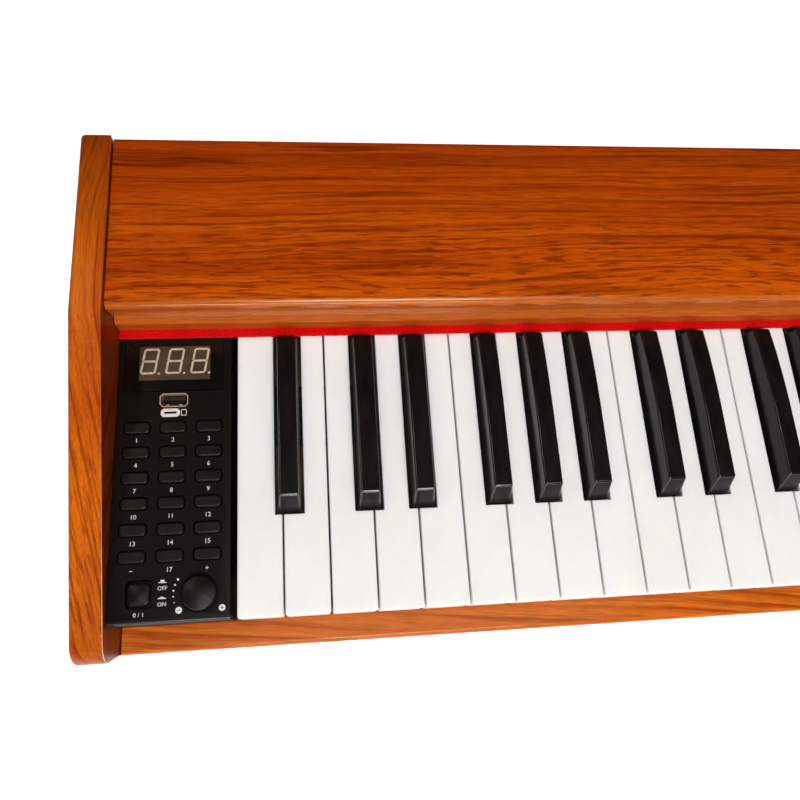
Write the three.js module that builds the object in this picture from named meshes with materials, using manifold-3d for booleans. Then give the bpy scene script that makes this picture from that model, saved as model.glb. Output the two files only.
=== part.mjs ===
// Wooden table-top digital piano with 88 keys and a control panel left of the keys.
// Millimetres. X runs to the player's right, Y away from the player, Z up.
// The origin is the middle of the case's underside. Key and panel places are counted
// from the front edge of the white keys (keyFront) and from their tops (keyTop).

import * as THREE from 'three';
import { mergeVertices } from 'three/addons/utils/BufferGeometryUtils.js';
import Module from 'manifold-3d';

// Clearances
const jointGap = 0.3;      // between boards and between seated pieces
const sideGap = 0.8;       // between a key's saddle and the rail that it straddles
const overrun = 5;         // how far a cutting solid runs past what it cuts
const noseSteps = 3;       // half the straight runs in the cheek's rounded nose
const cornerSteps = 1;     // and in every smaller corner

// Case boards
const board = 16;          // cheeks, lid and back
const bottomBoard = 12;
const cheekRise = 37.5;    // cheek top over the key tops
const cheekFrontRise = 3.2;
const bendSetback = 149;   // from the key fronts to the bend in the cheek's top edge
const noseReach = 16.8;    // cheek nose in front of the keys
const noseRadius = 12;
const cheekEdge = 2;
const caseBack = 250;      // from the key fronts to the back of the case
const keyHeight = 74.5;    // key tops over the surface that the case stands on
const lidDrop = 3.5;       // lid below the cheek tops
const lidFront = 152.2;    // from the key fronts to the lid's front edge
const lidNose = 4;
const lidLean = 2;
const railReach = 13.7;    // front rail in front of the keys
const railThickness = 15;
const railDrop = 33;       // rail top below the key tops
const railEdge = 2.5;
const panelBay = 62;       // width of the bay left of the keys
const rightMargin = 3;

// Moulding and felt strip over the rear of the keys
const mouldReach = 0.4;    // moulding in front of the lid
const mouldFoot = 0.8;     // how far the moulding's foot stands behind its front edge
const mouldSlopeRun = 3.5;
const mouldSlopeRise = 2.6;
const mouldShadow = 3.2;   // height of the recess under the lid
const mouldShadowRun = 1;
const mouldNoseHeight = 9.7;
const mouldDepth = 20;
const feltReach = 3.9;     // felt in front of the moulding
const feltDepth = 12;
const feltThickness = 2;
const feltLift = 0.5;      // felt over the key tops

// Keys
const whitePitch = 23.5;
const keyGap = 1;
const keyCorner = 1.3;
const lipDepth = 20;
const lipThickness = 3;
const keyDepth = 14;
const notchFront = 50.3;   // from the key fronts to the cut-out for a black key
const notchWidth = 15;
const pivotBack = 192;     // from the key fronts to the pivot rail's middle
const saddleHeight = 4;
const saddleThickness = 4;
const blackFront = 51.3;
const capFeltGap = 2.9;    // from a black key's rear end to the felt
const blackHeight = 12.5;
const blackSlopeRun = 6.5;
const blackBase = 11.8;
const blackTop = 9.6;      // width at full height
const blackFallRun = 51;   // rear stretch of the cap, where its top falls in an arc
const blackFallDrop = 4;
const blackTailDrop = 0.6;
const blackHookDrop = 9.5;
const blackHookRun = 3;
const spineDrop = 3;       // white spine's top below the key tops
const spineHeight = 5.5;
const blackSpineDrop = 1;  // black spine's top below the white keys' undersides
const blackSpineHeight = 5;
const blackSpineDepth = 6;
const blackSpineAhead = 2; // gap from the black spine to the front saddle wall

// Offsets of the black keys from the joint of the two white keys that they lie between
const sharpOffsets = { C: -2.3, D: 2.4, F: -3.5, G: 0, A: 3.5 };
const noteNames = ['A', 'B', 'C', 'D', 'E', 'F', 'G'];
const whiteKeys = 52;
const singleWhiteKeys = 12;

// Key frame and contact board
const sheet = 2;
const frameInset = 1;
const frameFoot = 10;
const frameFront = 20;     // from the key fronts to the frame's front wall
const ribWidth = 10;
const ribDrop = 23.4;      // stop rib below the key tops
const plateauDrop = 28;
const railWidth = 5;
const contactFront = 92;
const contactDepth = 36;
const circuitBoard = 1.6;

// Control panel
const panelGap = 2.8;      // dark gap between the panel and the first key
const panelUnderLid = 5.8;
const panelLip = 2;
const panelPlate = 2.5;
const panelWall = 2.5;
const panelBoardDrop = 14;
const panelBoardInset = 1;
const panelBoardFront = 6;
const panelBoardRear = 8;  // from the panel's rear end to its board
const postSize = 4;
const buttonWidth = 13.2;
const buttonLength = 5.9;
const buttonCorner = 1.9;
const buttonRise = 1;
const buttonFlange = 0.9;
const flangeHeight = 1;
const buttonTravel = 0.8;
const buttonRows = 6;
const buttonFirstSetback = 14.9;  // from the data socket to the rear row
const buttonLastSetback = 17.95;  // from the power button to the front row
const buttonColumns = { left: 50.8, middle: 32.5, right: 14.2 };    // left of the first key
const powerPlace = [46.5, 14.3];
const powerSize = 11.4;
const powerCorner = 2.2;
const powerRise = 2.2;
const powerTravel = 2;
const knobPlace = [17.6, 13.4];
const knobRadius = 8.6;
const knobRise = 5.5;
const knobDome = 2.2;
const knobTopRadius = 6.6;
const knobLift = 0.5;
const shaftRadius = 3;
const knobSides = 18;
const lensLeft = 33;       // left of the first key
const lensSetback = 19.4;  // from the lid's front edge
const lensSize = [51, 28.4];
const lensCorner = 1;
const lensThickness = 1.2;
const windowShift = [-0.8, 1.5];  // from the lens's middle
const windowSize = [37.2, 19.4];
const usbLeft = 32.6;
const usbSetback = 19.4;   // from the lens's middle
const usbSize = [15.2, 8];
const usbWall = 1.2;
const usbDepth = 11;
const postLefts = { left: 52, middle: 33, right: 13 };
const postSetback = 1.4;   // from the data socket's middle
const frontPostRise = 1.7; // behind the power button's middle

// Rear sockets, main board and speakers
const jackPlateSize = [150, 36];
const jackPlateThickness = 2.4;
const jackRebate = 3;
const jackLedge = 5;
const jackFromLeft = 300;  // middle of the plate from the case's left side
const jackHeight = 36;     // its middle over the case's underside
const jackSpread = 34;
const jackBody = 15;
const jackBodyLength = 26;
const jackBore = 3.4;
const jackBoreDepth = 18;
const jackRows = [-1.5, -0.5, 0.5, 1.5];
const boreSides = 10;
const mainBoardSize = [170, 26];
const mainBoardSetback = 15;    // from the socket plate to the board's rear edge
const mainPost = 6;
const mainPostInsetShare = 0.08;
const speakerRadius = 52;
const speakerFlange = 3;
const speakerConeRadius = 44;
const speakerNeckRadius = 22;
const speakerMagnetRadius = 30;
const speakerNeckShare = 0.586; // neck's height in the whole speaker's
const speakerHeadroom = 3.2;    // from the magnet to the key frame
const speakerWall = 1.5;
const speakerFromSide = 260;
const speakerSides = 20;
const portRadius = 42;

// Places worked out from the sizes above
const caseWidth = 2 * board + panelBay + whiteKeys * whitePitch + rightMargin;
const caseDepth = noseReach + caseBack;
const caseLeft = -caseWidth / 2;
const bayLeft = caseLeft + board;
const bayWidth = caseWidth - 2 * board;
const keysLeft = bayLeft + panelBay;
const keyFront = noseReach - caseDepth / 2;
const backFace = caseDepth / 2;
const keyTop = keyHeight;
const cheekTop = keyTop + cheekRise;
const lidTop = cheekTop - lidDrop;
const lidUnderside = lidTop - board;
const feltTop = keyTop + feltLift + feltThickness;
const railTop = keyTop - railDrop;
const backInside = backFace - board;
const mouldFront = lidFront - mouldReach;
const feltFront = mouldFront - feltReach;
const panelDepth = lidFront + panelUnderLid;
const speakerSeat = bottomBoard + jointGap;
const speakerHeight = keyTop - plateauDrop - sheet - speakerHeadroom - speakerSeat;
const speakerNeckHeight = speakerHeight * speakerNeckShare;
const panelBoardDepth = panelDepth - panelBoardRear - panelBoardFront;
const lensPlace = [lensLeft, lidFront - lensSetback];
const windowPlace = [lensLeft + windowShift[0], lensPlace[1] + windowShift[1]];
const usbPlace = [usbLeft, lensPlace[1] - usbSetback];
const buttonFirstRow = usbPlace[1] - buttonFirstSetback;
const buttonLastRow = powerPlace[1] + buttonLastSetback;
const buttonRowPitch = (buttonFirstRow - buttonLastRow) / (buttonRows - 1);
const postPlaces = [
  [postLefts.left, usbPlace[1] - postSetback],
  [postLefts.right, usbPlace[1] - postSetback],
  [postLefts.middle, (buttonFirstRow + buttonLastRow) / 2],
  [postLefts.middle, powerPlace[1] + frontPostRise],
];
const tailEnd = pivotBack + railWidth / 2 + sideGap + saddleThickness;
const saddleFront = pivotBack - railWidth / 2 - sideGap;

const finishes = {
  foil: { color: 0xb8560f, roughness: 0.38, metalness: 0 },
  felt: { color: 0xc3090b, roughness: 0.95, metalness: 0 },
  whiteKey: { color: 0xf2efe9, roughness: 0.25, metalness: 0 },
  blackKey: { color: 0x17171a, roughness: 0.3, metalness: 0 },
  blackPlastic: { color: 0x131313, roughness: 0.55, metalness: 0 },
  buttonPlastic: { color: 0x1b1b1c, roughness: 0.6, metalness: 0 },
  smokedLens: { color: 0x2a2118, roughness: 0.1, metalness: 0 },
  steel: { color: 0x8a7a66, roughness: 0.45, metalness: 0.9 },
  circuit: { color: 0x1c6b3c, roughness: 0.5, metalness: 0 },
  speaker: { color: 0x2a2a2c, roughness: 0.6, metalness: 0.4 },
  chrome: { color: 0xc9ccd0, roughness: 0.25, metalness: 1 },
};
const materials = Object.fromEntries(
  Object.entries(finishes).map(([name, finish]) => [name, new THREE.MeshStandardMaterial(finish)])
);

const wasm = await Module();
wasm.setup();
const piano = new THREE.Group();

// Adds a named piece at a place
function add(name, geometry, material, x = 0, y = 0, z = 0) {
  const mesh = new THREE.Mesh(geometry, materials[material]);
  mesh.name = name;
  mesh.position.set(x, y, z);
  piano.add(mesh);
  return mesh;
}

function solid(geometry) {
  const bare = geometry.clone();
  bare.deleteAttribute('normal');
  bare.deleteAttribute('uv');
  const merged = mergeVertices(bare);
  return new wasm.Manifold(new wasm.Mesh({
    numProp: 3,
    vertProperties: new Float32Array(merged.attributes.position.array),
    triVerts: new Uint32Array(merged.index.array),
  }));
}

function geometryOf(body) {
  const mesh = body.getMesh();
  const geometry = new THREE.BufferGeometry();
  geometry.setAttribute('position', new THREE.BufferAttribute(mesh.vertProperties, mesh.numProp));
  geometry.setIndex(new THREE.BufferAttribute(mesh.triVerts, 1));
  geometry.computeVertexNormals();
  return geometry;
}

// A box from its lowest to its highest corner
function boxBetween(low, high) {
  const size = high.map((value, axis) => value - low[axis]);
  const geometry = new THREE.BoxGeometry(...size);
  return geometry.translate(...low.map((value, axis) => value + size[axis] / 2));
}

// A rod along Z, from its lower end
function rod(radius, height, sides) {
  return new THREE.CylinderGeometry(radius, radius, height, sides)
    .rotateX(Math.PI / 2)
    .translate(0, 0, height / 2);
}

// An outline in Y and Z, extruded along X
function sideSlab(shape, width, edge = 0, curveSegments = cornerSteps) {
  const geometry = new THREE.ExtrudeGeometry(shape, {
    depth: width - 2 * edge,
    curveSegments,
    bevelEnabled: edge > 0,
    bevelThickness: edge,
    bevelSize: edge,
    bevelOffset: -edge,
    bevelSegments: 2,
  });
  return geometry.translate(0, 0, edge).rotateX(Math.PI / 2).rotateZ(Math.PI / 2);
}

// An outline in X and Y, extruded upwards
function planSlab(shape, height) {
  const settings = { depth: height, curveSegments: cornerSteps, bevelEnabled: false };
  return new THREE.ExtrudeGeometry(shape, settings);
}

function outline(points) {
  return new THREE.Shape(points.map(([u, v]) => new THREE.Vector2(u, v)));
}

function roundedRectangle(width, length, corner) {
  const shape = new THREE.Shape();
  const u = width / 2 - corner;
  const v = length / 2 - corner;
  shape.absarc(u, v, corner, 0, Math.PI / 2);
  shape.absarc(-u, v, corner, Math.PI / 2, Math.PI);
  shape.absarc(-u, -v, corner, Math.PI, 3 * Math.PI / 2);
  shape.absarc(u, -v, corner, 3 * Math.PI / 2, 2 * Math.PI);
  return shape;
}

// Outline of a bent sheet whose upper face follows a path of square corners
function foldedSheet(path, thickness) {
  const points = path.map((point) => new THREE.Vector2(...point));
  const normals = points.slice(1).map((point, i) => {
    const run = point.clone().sub(points[i]).normalize();
    return new THREE.Vector2(run.y, -run.x).multiplyScalar(thickness);
  });
  const under = points.map((point, i) => {
    const shifted = point.clone();
    if (i > 0) shifted.add(normals[i - 1]);
    if (i < normals.length) shifted.add(normals[i]);
    return shifted;
  });
  return new THREE.Shape([...points, ...under.reverse()]);
}

// Cheeks: one board at each side, its top edge straight, bent down and rounded at the nose
function cheekOutline() {
  const slope = Math.atan2(cheekRise - cheekFrontRise, bendSetback);
  const noseY = keyFront - noseReach + noseRadius;
  const slopeAtNose = keyTop + cheekFrontRise + Math.tan(slope) * (noseY - keyFront);
  const noseZ = slopeAtNose - noseRadius / Math.cos(slope);
  const shape = new THREE.Shape();
  shape.moveTo(keyFront - railReach, 0);
  shape.lineTo(backFace, 0);
  shape.lineTo(backFace, cheekTop);
  shape.lineTo(keyFront + bendSetback, cheekTop);
  shape.absarc(noseY, noseZ, noseRadius, Math.PI / 2 + slope, Math.PI);
  shape.lineTo(keyFront - railReach, railTop);
  shape.closePath();
  return shape;
}

function addCheeks() {
  const geometry = sideSlab(cheekOutline(), board, cheekEdge, noseSteps);
  add('left_cheek', geometry, 'foil', caseLeft);
  add('right_cheek', geometry, 'foil', -caseLeft - board);
}

// Boards that run between the cheeks
function addCrossBoard(name, shape) {
  add(name, sideSlab(shape, bayWidth - 2 * jointGap), 'foil', bayLeft + jointGap);
}

function lidOutline() {
  const front = keyFront + lidFront;
  const shape = new THREE.Shape();
  shape.moveTo(front + lidLean, lidUnderside + jointGap);
  shape.lineTo(backFace, lidUnderside + jointGap);
  shape.lineTo(backFace, lidTop);
  shape.absarc(front + lidNose, lidTop - lidNose, lidNose, Math.PI / 2, Math.PI);
  shape.closePath();
  return shape;
}

function mouldingOutline() {
  const front = keyFront + mouldFront;
  const nose = feltTop + mouldNoseHeight;
  const shelf = nose + mouldSlopeRise;
  return outline([
    [front + mouldFoot, feltTop],
    [front + mouldDepth, feltTop],
    [front + mouldDepth, lidUnderside],
    [front + mouldSlopeRun + mouldShadowRun, lidUnderside],
    [front + mouldSlopeRun, Math.min(shelf, lidUnderside - mouldShadow)],
    [front, nose],
  ]);
}

function frontRailOutline() {
  const front = keyFront - railReach;
  const shape = new THREE.Shape();
  shape.moveTo(front, 0);
  shape.lineTo(front + railThickness, 0);
  shape.lineTo(front + railThickness, railTop);
  shape.absarc(front + railEdge, railTop - railEdge, railEdge, Math.PI / 2, Math.PI);
  shape.closePath();
  return shape;
}

function addFelt() {
  const low = [bayLeft + jointGap, keyFront + feltFront, keyTop + feltLift];
  const high = [bayLeft + bayWidth - jointGap, low[1] + feltDepth, feltTop - jointGap];
  add('felt_strip', boxBetween(low, high), 'felt');
}

const speakerPlaces = { left: caseLeft + speakerFromSide, right: -caseLeft - speakerFromSide };
const speakerY = keyFront + (frameFront + pivotBack) / 2;

// Bottom board: carries the key frame and the speakers, with a round sound port under each
function addBottomBoard() {
  const low = [bayLeft + jointGap, keyFront - railReach + railThickness + jointGap, 0];
  const high = [bayLeft + bayWidth - jointGap, backInside - jointGap, bottomBoard];
  let body = solid(boxBetween(low, high));
  for (const x of Object.values(speakerPlaces)) {
    const port = rod(portRadius, bottomBoard + 2 * overrun, speakerSides);
    body = body.subtract(solid(port.translate(x, speakerY, -overrun)));
  }
  add('bottom_board', geometryOf(body), 'foil');
}

const jackX = caseLeft + jackFromLeft;

function centredBox(size, y, depth, x, z) {
  const [width, height] = size;
  return boxBetween([x - width / 2, y, z - height / 2], [x + width / 2, y + depth, z + height / 2]);
}

// Back board: a rebated window holds the socket plate
function addBackPanel() {
  const low = [bayLeft + jointGap, backInside, 0];
  const high = [bayLeft + bayWidth - jointGap, backFace, lidUnderside];
  const [width, height] = jackPlateSize;
  const rebate = [width + 2 * jointGap, height + 2 * jointGap];
  const throughHole = [width - 2 * jackLedge, height - 2 * jackLedge];
  const body = solid(boxBetween(low, high))
    .subtract(solid(centredBox(rebate, backFace - jackRebate, jackRebate + overrun, jackX, jackHeight)))
    .subtract(solid(centredBox(throughHole, backInside - overrun, board + 2 * overrun, jackX, jackHeight)));
  add('back_panel', geometryOf(body), 'foil');
}

// A bore along Y that opens towards the back
function rearBore(x, mouthY, depth) {
  const bore = rod(jackBore, depth + overrun, boreSides).rotateX(-Math.PI / 2);
  return solid(bore.translate(x, mouthY - depth, jackHeight));
}

function addJackPlate() {
  const front = backFace - jackRebate + jointGap;
  let body = solid(centredBox(jackPlateSize, front, jackPlateThickness, jackX, jackHeight));
  for (const row of jackRows) {
    body = body.subtract(rearBore(jackX + row * jackSpread, front + jackPlateThickness, board));
  }
  add('jack_plate', geometryOf(body), 'blackPlastic');
}

// Main board: circuit board on spacers, with four sockets that reach the socket plate
function addMainBoard() {
  const [width, depth] = mainBoardSize;
  const plateBack = backFace - jackRebate;
  const top = jackHeight - jackBody / 2;
  const low = [jackX - width / 2, plateBack - mainBoardSetback - depth, top - circuitBoard];
  let body = solid(boxBetween(low, [low[0] + width, low[1] + depth, top]));
  for (const row of jackRows) {
    const x = jackX + row * jackSpread;
    const socket = boxBetween(
      [x - jackBody / 2, plateBack - jackBodyLength, top],
      [x + jackBody / 2, plateBack, top + jackBody],
    );
    body = body.add(solid(socket)).subtract(rearBore(x, plateBack, jackBoreDepth));
  }
  for (const share of [mainPostInsetShare, 1 - mainPostInsetShare]) {
    const x = low[0] + width * share;
    const y = low[1] + depth / 2;
    const post = boxBetween(
      [x - mainPost / 2, y - mainPost / 2, bottomBoard + jointGap],
      [x + mainPost / 2, y + mainPost / 2, top - circuitBoard],
    );
    body = body.add(solid(post));
  }
  add('main_board', geometryOf(body), 'circuit');
}

// Speakers: basket, cone and magnet as one turned piece, facing down over the sound port
function speakerGeometry() {
  const profile = [
    [0, speakerNeckHeight - speakerWall],
    [speakerNeckRadius - speakerWall, speakerNeckHeight - speakerWall],
    [speakerConeRadius - speakerWall, 0],
    [speakerRadius, 0],
    [speakerRadius, speakerFlange],
    [speakerConeRadius, speakerFlange],
    [speakerNeckRadius, speakerNeckHeight],
    [speakerMagnetRadius, speakerNeckHeight],
    [speakerMagnetRadius, speakerHeight],
    [0, speakerHeight],
  ];
  const points = profile.map(([radius, height]) => new THREE.Vector2(radius, height));
  return new THREE.LatheGeometry(points, speakerSides).rotateX(Math.PI / 2);
}

function addSpeakers() {
  for (const [side, x] of Object.entries(speakerPlaces)) {
    const body = solid(speakerGeometry());
    add(`speaker_${side}`, geometryOf(body), 'speaker', x, speakerY, speakerSeat);
  }
}

// Key frame: folded steel sheet with a stop rib in front and the pivot rail at the rear
function addKeyFrame() {
  const foot = bottomBoard + jointGap + sheet - keyTop;
  const railBack = pivotBack + railWidth / 2;
  const railTopDrop = -keyDepth - jointGap;
  const path = [
    [frameFront - frameFoot, foot],
    [frameFront, foot],
    [frameFront, -ribDrop],
    [frameFront + ribWidth, -ribDrop],
    [frameFront + ribWidth, -plateauDrop],
    [railBack - railWidth, -plateauDrop],
    [railBack - railWidth, railTopDrop],
    [railBack, railTopDrop],
    [railBack, foot],
    [railBack + frameFoot, foot],
  ];
  const width = whiteKeys * whitePitch - 2 * frameInset;
  const geometry = sideSlab(foldedSheet(path, sheet), width);
  add('key_frame', geometry, 'steel', keysLeft + frameInset, keyFront, keyTop);
}

function addContactBoard() {
  const low = [frameInset, contactFront, jointGap - plateauDrop];
  const high = [whiteKeys * whitePitch - frameInset, low[1] + contactDepth, low[2] + circuitBoard];
  add('contact_board', boxBetween(low, high), 'circuit', keysLeft, keyFront, keyTop);
}

// White keys: the plan gives corners and cut-outs, the side view gives lip and saddle
function whiteSide() {
  const rearWall = tailEnd - saddleThickness;
  return outline([
    [0, -lipDepth],
    [lipThickness, -lipDepth],
    [lipThickness, -keyDepth],
    [saddleFront - saddleThickness, -keyDepth],
    [saddleFront - saddleThickness, -keyDepth - saddleHeight],
    [saddleFront, -keyDepth - saddleHeight],
    [saddleFront, -keyDepth],
    [rearWall, -keyDepth],
    [rearWall, -keyDepth - saddleHeight],
    [tailEnd, -keyDepth - saddleHeight],
    [tailEnd, 0],
    [0, 0],
  ]);
}

function whitePlan(leftCut, rightCut) {
  const left = keyGap / 2;
  const right = whitePitch - keyGap / 2;
  const shape = new THREE.Shape();
  shape.absarc(left + keyCorner, keyCorner, keyCorner, Math.PI, 3 * Math.PI / 2);
  shape.absarc(right - keyCorner, keyCorner, keyCorner, -Math.PI / 2, 0);
  if (rightCut > 0) {
    shape.lineTo(right, notchFront);
    shape.lineTo(whitePitch - rightCut, notchFront);
    shape.lineTo(whitePitch - rightCut, tailEnd);
  } else {
    shape.lineTo(right, tailEnd);
  }
  if (leftCut > 0) {
    shape.lineTo(leftCut, tailEnd);
    shape.lineTo(leftCut, notchFront);
    shape.lineTo(left, notchFront);
  } else {
    shape.lineTo(left, tailEnd);
  }
  shape.closePath();
  return shape;
}

function whiteKey(leftCut, rightCut) {
  const depth = keyDepth + saddleHeight + lipDepth;
  const plan = planSlab(whitePlan(leftCut, rightCut), depth).translate(0, 0, -depth);
  return solid(plan).intersect(solid(sideSlab(whiteSide(), whitePitch)));
}

// Black keys: extruded side view, drawn in towards the top of the cap
function blackSide() {
  const capEnd = feltFront - capFeltGap;
  const rearWall = tailEnd - saddleThickness;
  const shape = new THREE.Shape();
  shape.moveTo(blackFront, -keyDepth);
  shape.lineTo(saddleFront - saddleThickness, -keyDepth);
  shape.lineTo(saddleFront - saddleThickness, -keyDepth - saddleHeight);
  shape.lineTo(saddleFront, -keyDepth - saddleHeight);
  shape.lineTo(saddleFront, -keyDepth);
  shape.lineTo(rearWall, -keyDepth);
  shape.lineTo(rearWall, -keyDepth - saddleHeight);
  shape.lineTo(tailEnd, -keyDepth - saddleHeight);
  shape.lineTo(tailEnd, -blackHookDrop);
  shape.lineTo(rearWall - blackHookRun, -blackHookDrop);
  shape.lineTo(rearWall - blackHookRun, -blackTailDrop);
  shape.lineTo(capEnd, -blackTailDrop);
  const fallRadius = (blackFallRun ** 2 + blackFallDrop ** 2) / (2 * blackFallDrop);
  const fallAngle = Math.asin(blackFallRun / fallRadius);
  shape.absarc(
    capEnd - blackFallRun, blackHeight - fallRadius, fallRadius, Math.PI / 2 - fallAngle, Math.PI / 2);
  shape.lineTo(blackFront + blackSlopeRun, blackHeight);
  shape.lineTo(blackFront, 0);
  shape.closePath();
  return shape;
}

function blackKey() {
  const geometry = sideSlab(blackSide(), 1).translate(-0.5, 0, 0);
  const place = geometry.attributes.position;
  for (let i = 0; i < place.count; i += 1) {
    const rise = Math.max(place.getZ(i), 0) / blackHeight;
    place.setX(i, place.getX(i) * THREE.MathUtils.lerp(blackBase, blackTop, rise));
  }
  return solid(geometry);
}

// Note letter and octave number of a white key, counted from the lowest
function noteOf(index) {
  const letter = noteNames[index % noteNames.length];
  const octave = Math.floor((index + noteNames.length - 2) / noteNames.length);
  return { letter, octave };
}

// Middle of the black key right of a white key, or null where there is none
function sharpAfter(index) {
  const offset = sharpOffsets[noteOf(index).letter];
  if (index < 0 || index >= whiteKeys - 1 || offset === undefined) return null;
  return (index + 1) * whitePitch + offset;
}

function whiteKeyAt(index) {
  const before = sharpAfter(index - 1);
  const after = sharpAfter(index);
  const leftCut = before === null ? 0 : before + notchWidth / 2 - index * whitePitch;
  const rightCut = after === null ? 0 : (index + 1) * whitePitch - after + notchWidth / 2;
  return whiteKey(leftCut, rightCut);
}

function addSingleKeys() {
  for (let index = 0; index < singleWhiteKeys; index += 1) {
    const { letter, octave } = noteOf(index);
    const x = keysLeft + index * whitePitch;
    const name = `${letter.toLowerCase()}${octave}`;
    add(`white_key_${name}`, geometryOf(whiteKeyAt(index)), 'whiteKey', x, keyFront, keyTop);
    const middle = sharpAfter(index);
    if (middle === null) continue;
    add(`black_key_${name}_sharp`, geometryOf(blackKey()), 'blackKey', keysLeft + middle, keyFront, keyTop);
  }
}

// The higher keys are moulded in two combs, each joined by a spine behind or before the rail
function addKeyCombs() {
  const start = singleWhiteKeys * whitePitch;
  const end = whiteKeys * whitePitch;
  const rearWall = tailEnd - saddleThickness;
  const whiteSpine = boxBetween(
    [start + keyGap / 2, rearWall, -spineDrop - spineHeight],
    [end - keyGap / 2, tailEnd, -spineDrop],
  );
  const spineRear = saddleFront - saddleThickness - blackSpineAhead;
  const sharps = [];
  let white = solid(whiteSpine);
  for (let index = singleWhiteKeys; index < whiteKeys; index += 1) {
    white = white.add(whiteKeyAt(index).translate([index * whitePitch, 0, 0]));
    const middle = sharpAfter(index);
    if (middle !== null) sharps.push(middle);
  }
  const top = -keyDepth - blackSpineDrop;
  const spineLow = [sharps[0] - blackBase / 2, spineRear - blackSpineDepth, top - blackSpineHeight];
  const spineHigh = [sharps.at(-1) + blackBase / 2, spineRear, top];
  let black = solid(boxBetween(spineLow, spineHigh));
  for (const middle of sharps) {
    const stem = boxBetween(
      [middle - blackBase / 2, spineLow[1], top - blackSpineHeight],
      [middle + blackBase / 2, spineRear, -keyDepth],
    );
    black = black.add(solid(stem)).add(blackKey().translate([middle, 0, 0]));
  }
  add('white_key_comb', geometryOf(white), 'whiteKey', keysLeft, keyFront, keyTop);
  add('black_key_comb', geometryOf(black), 'blackKey', keysLeft, keyFront, keyTop);
}

// Places on the control panel, from the first key's left side and the key fronts
function onPanel([left, back]) {
  return [keysLeft - left, keyFront + back];
}

const buttonPlaces = {};
for (let row = 0; row < buttonRows; row += 1) {
  for (const [column, left] of Object.entries(buttonColumns)) {
    buttonPlaces[`button_row${row + 1}_${column}`] = [left, buttonFirstRow - row * buttonRowPitch];
  }
}

function holeThrough(shape, place) {
  const depth = panelPlate + 2 * overrun;
  const [x, y] = onPanel(place);
  return solid(planSlab(shape, depth).translate(x, y, keyTop - panelPlate - overrun));
}

// Control panel: moulded cover that stands on the bottom board, open below and behind
function panelShell() {
  const railBack = railThickness - railReach + jointGap;
  const shape = new THREE.Shape();
  const foot = bottomBoard + jointGap - keyTop;
  shape.moveTo(railBack, foot);
  shape.lineTo(panelDepth, foot);
  shape.lineTo(panelDepth, 0);
  shape.absarc(panelLip, -panelLip, panelLip, Math.PI / 2, Math.PI);
  shape.lineTo(0, jointGap - railDrop);
  shape.lineTo(railBack, jointGap - railDrop);
  shape.closePath();
  const width = panelBay - panelGap - jointGap;
  const outer = sideSlab(shape, width).translate(bayLeft + jointGap, keyFront, keyTop);
  const hollow = boxBetween(
    [bayLeft + jointGap + panelWall, keyFront + railBack + panelWall, -overrun],
    [keysLeft - panelGap - panelWall, keyFront + panelDepth + overrun, keyTop - panelPlate],
  );
  return solid(outer).subtract(solid(hollow));
}

function addControlPanel() {
  let body = panelShell();
  const buttonHole = roundedRectangle(
    buttonWidth + 2 * jointGap, buttonLength + 2 * jointGap, buttonCorner + jointGap);
  for (const place of Object.values(buttonPlaces)) body = body.subtract(holeThrough(buttonHole, place));
  const powerHole = roundedRectangle(
    powerSize + 2 * jointGap, powerSize + 2 * jointGap, powerCorner + jointGap);
  const usbHole = roundedRectangle(usbSize[0] + 2 * jointGap, usbSize[1] + 2 * jointGap, jointGap);
  const windowHole = roundedRectangle(...windowSize, lensCorner);
  body = body.subtract(holeThrough(powerHole, powerPlace));
  body = body.subtract(holeThrough(usbHole, usbPlace));
  body = body.subtract(holeThrough(windowHole, windowPlace));
  const [knobX, knobY] = onPanel(knobPlace);
  const shaftHole = rod(shaftRadius + jointGap, panelPlate + 2 * overrun, boreSides);
  body = body.subtract(solid(shaftHole.translate(knobX, knobY, keyTop - panelPlate - overrun)));
  const [lensX, lensY] = onPanel(lensPlace);
  const recess = roundedRectangle(
    lensSize[0] + 2 * jointGap, lensSize[1] + 2 * jointGap, lensCorner + jointGap);
  const recessFloor = keyTop - lensThickness - jointGap;
  body = body.subtract(solid(planSlab(recess, overrun).translate(lensX, lensY, recessFloor)));
  for (const place of postPlaces) {
    const [x, y] = onPanel(place);
    const post = boxBetween(
      [x - postSize / 2, y - postSize / 2, keyTop - panelBoardDrop + jointGap],
      [x + postSize / 2, y + postSize / 2, keyTop - panelPlate],
    );
    body = body.add(solid(post));
  }
  add('control_panel', geometryOf(body), 'blackPlastic');
}

function addDisplayWindow() {
  const shape = roundedRectangle(...lensSize, lensCorner);
  const [x, y] = onPanel(lensPlace);
  add('display_window', planSlab(shape, lensThickness), 'smokedLens', x, y, keyTop - lensThickness);
}

function addPanelBoard() {
  const left = bayLeft + jointGap + panelWall + panelBoardInset;
  const right = keysLeft - panelGap - panelWall - panelBoardInset;
  const top = keyTop - panelBoardDrop;
  const low = [left, keyFront + panelBoardFront, top - circuitBoard];
  add('panel_board', boxBetween(low, [right, low[1] + panelBoardDepth, top]), 'circuit');
}

// Data socket: metal shell that stands on the panel board and opens upwards
function addUsbSocket() {
  const [width, length] = usbSize;
  const height = panelBoardDrop - jointGap;
  const [x, y] = onPanel(usbPlace);
  const mouth = boxBetween(
    [usbWall - width / 2, usbWall - length / 2, height - usbDepth],
    [width / 2 - usbWall, length / 2 - usbWall, height + overrun],
  );
  const shell = boxBetween([-width / 2, -length / 2, 0], [width / 2, length / 2, height]);
  add('usb_socket', geometryOf(solid(shell).subtract(solid(mouth))), 'chrome', x, y, keyTop - height);
}

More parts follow.
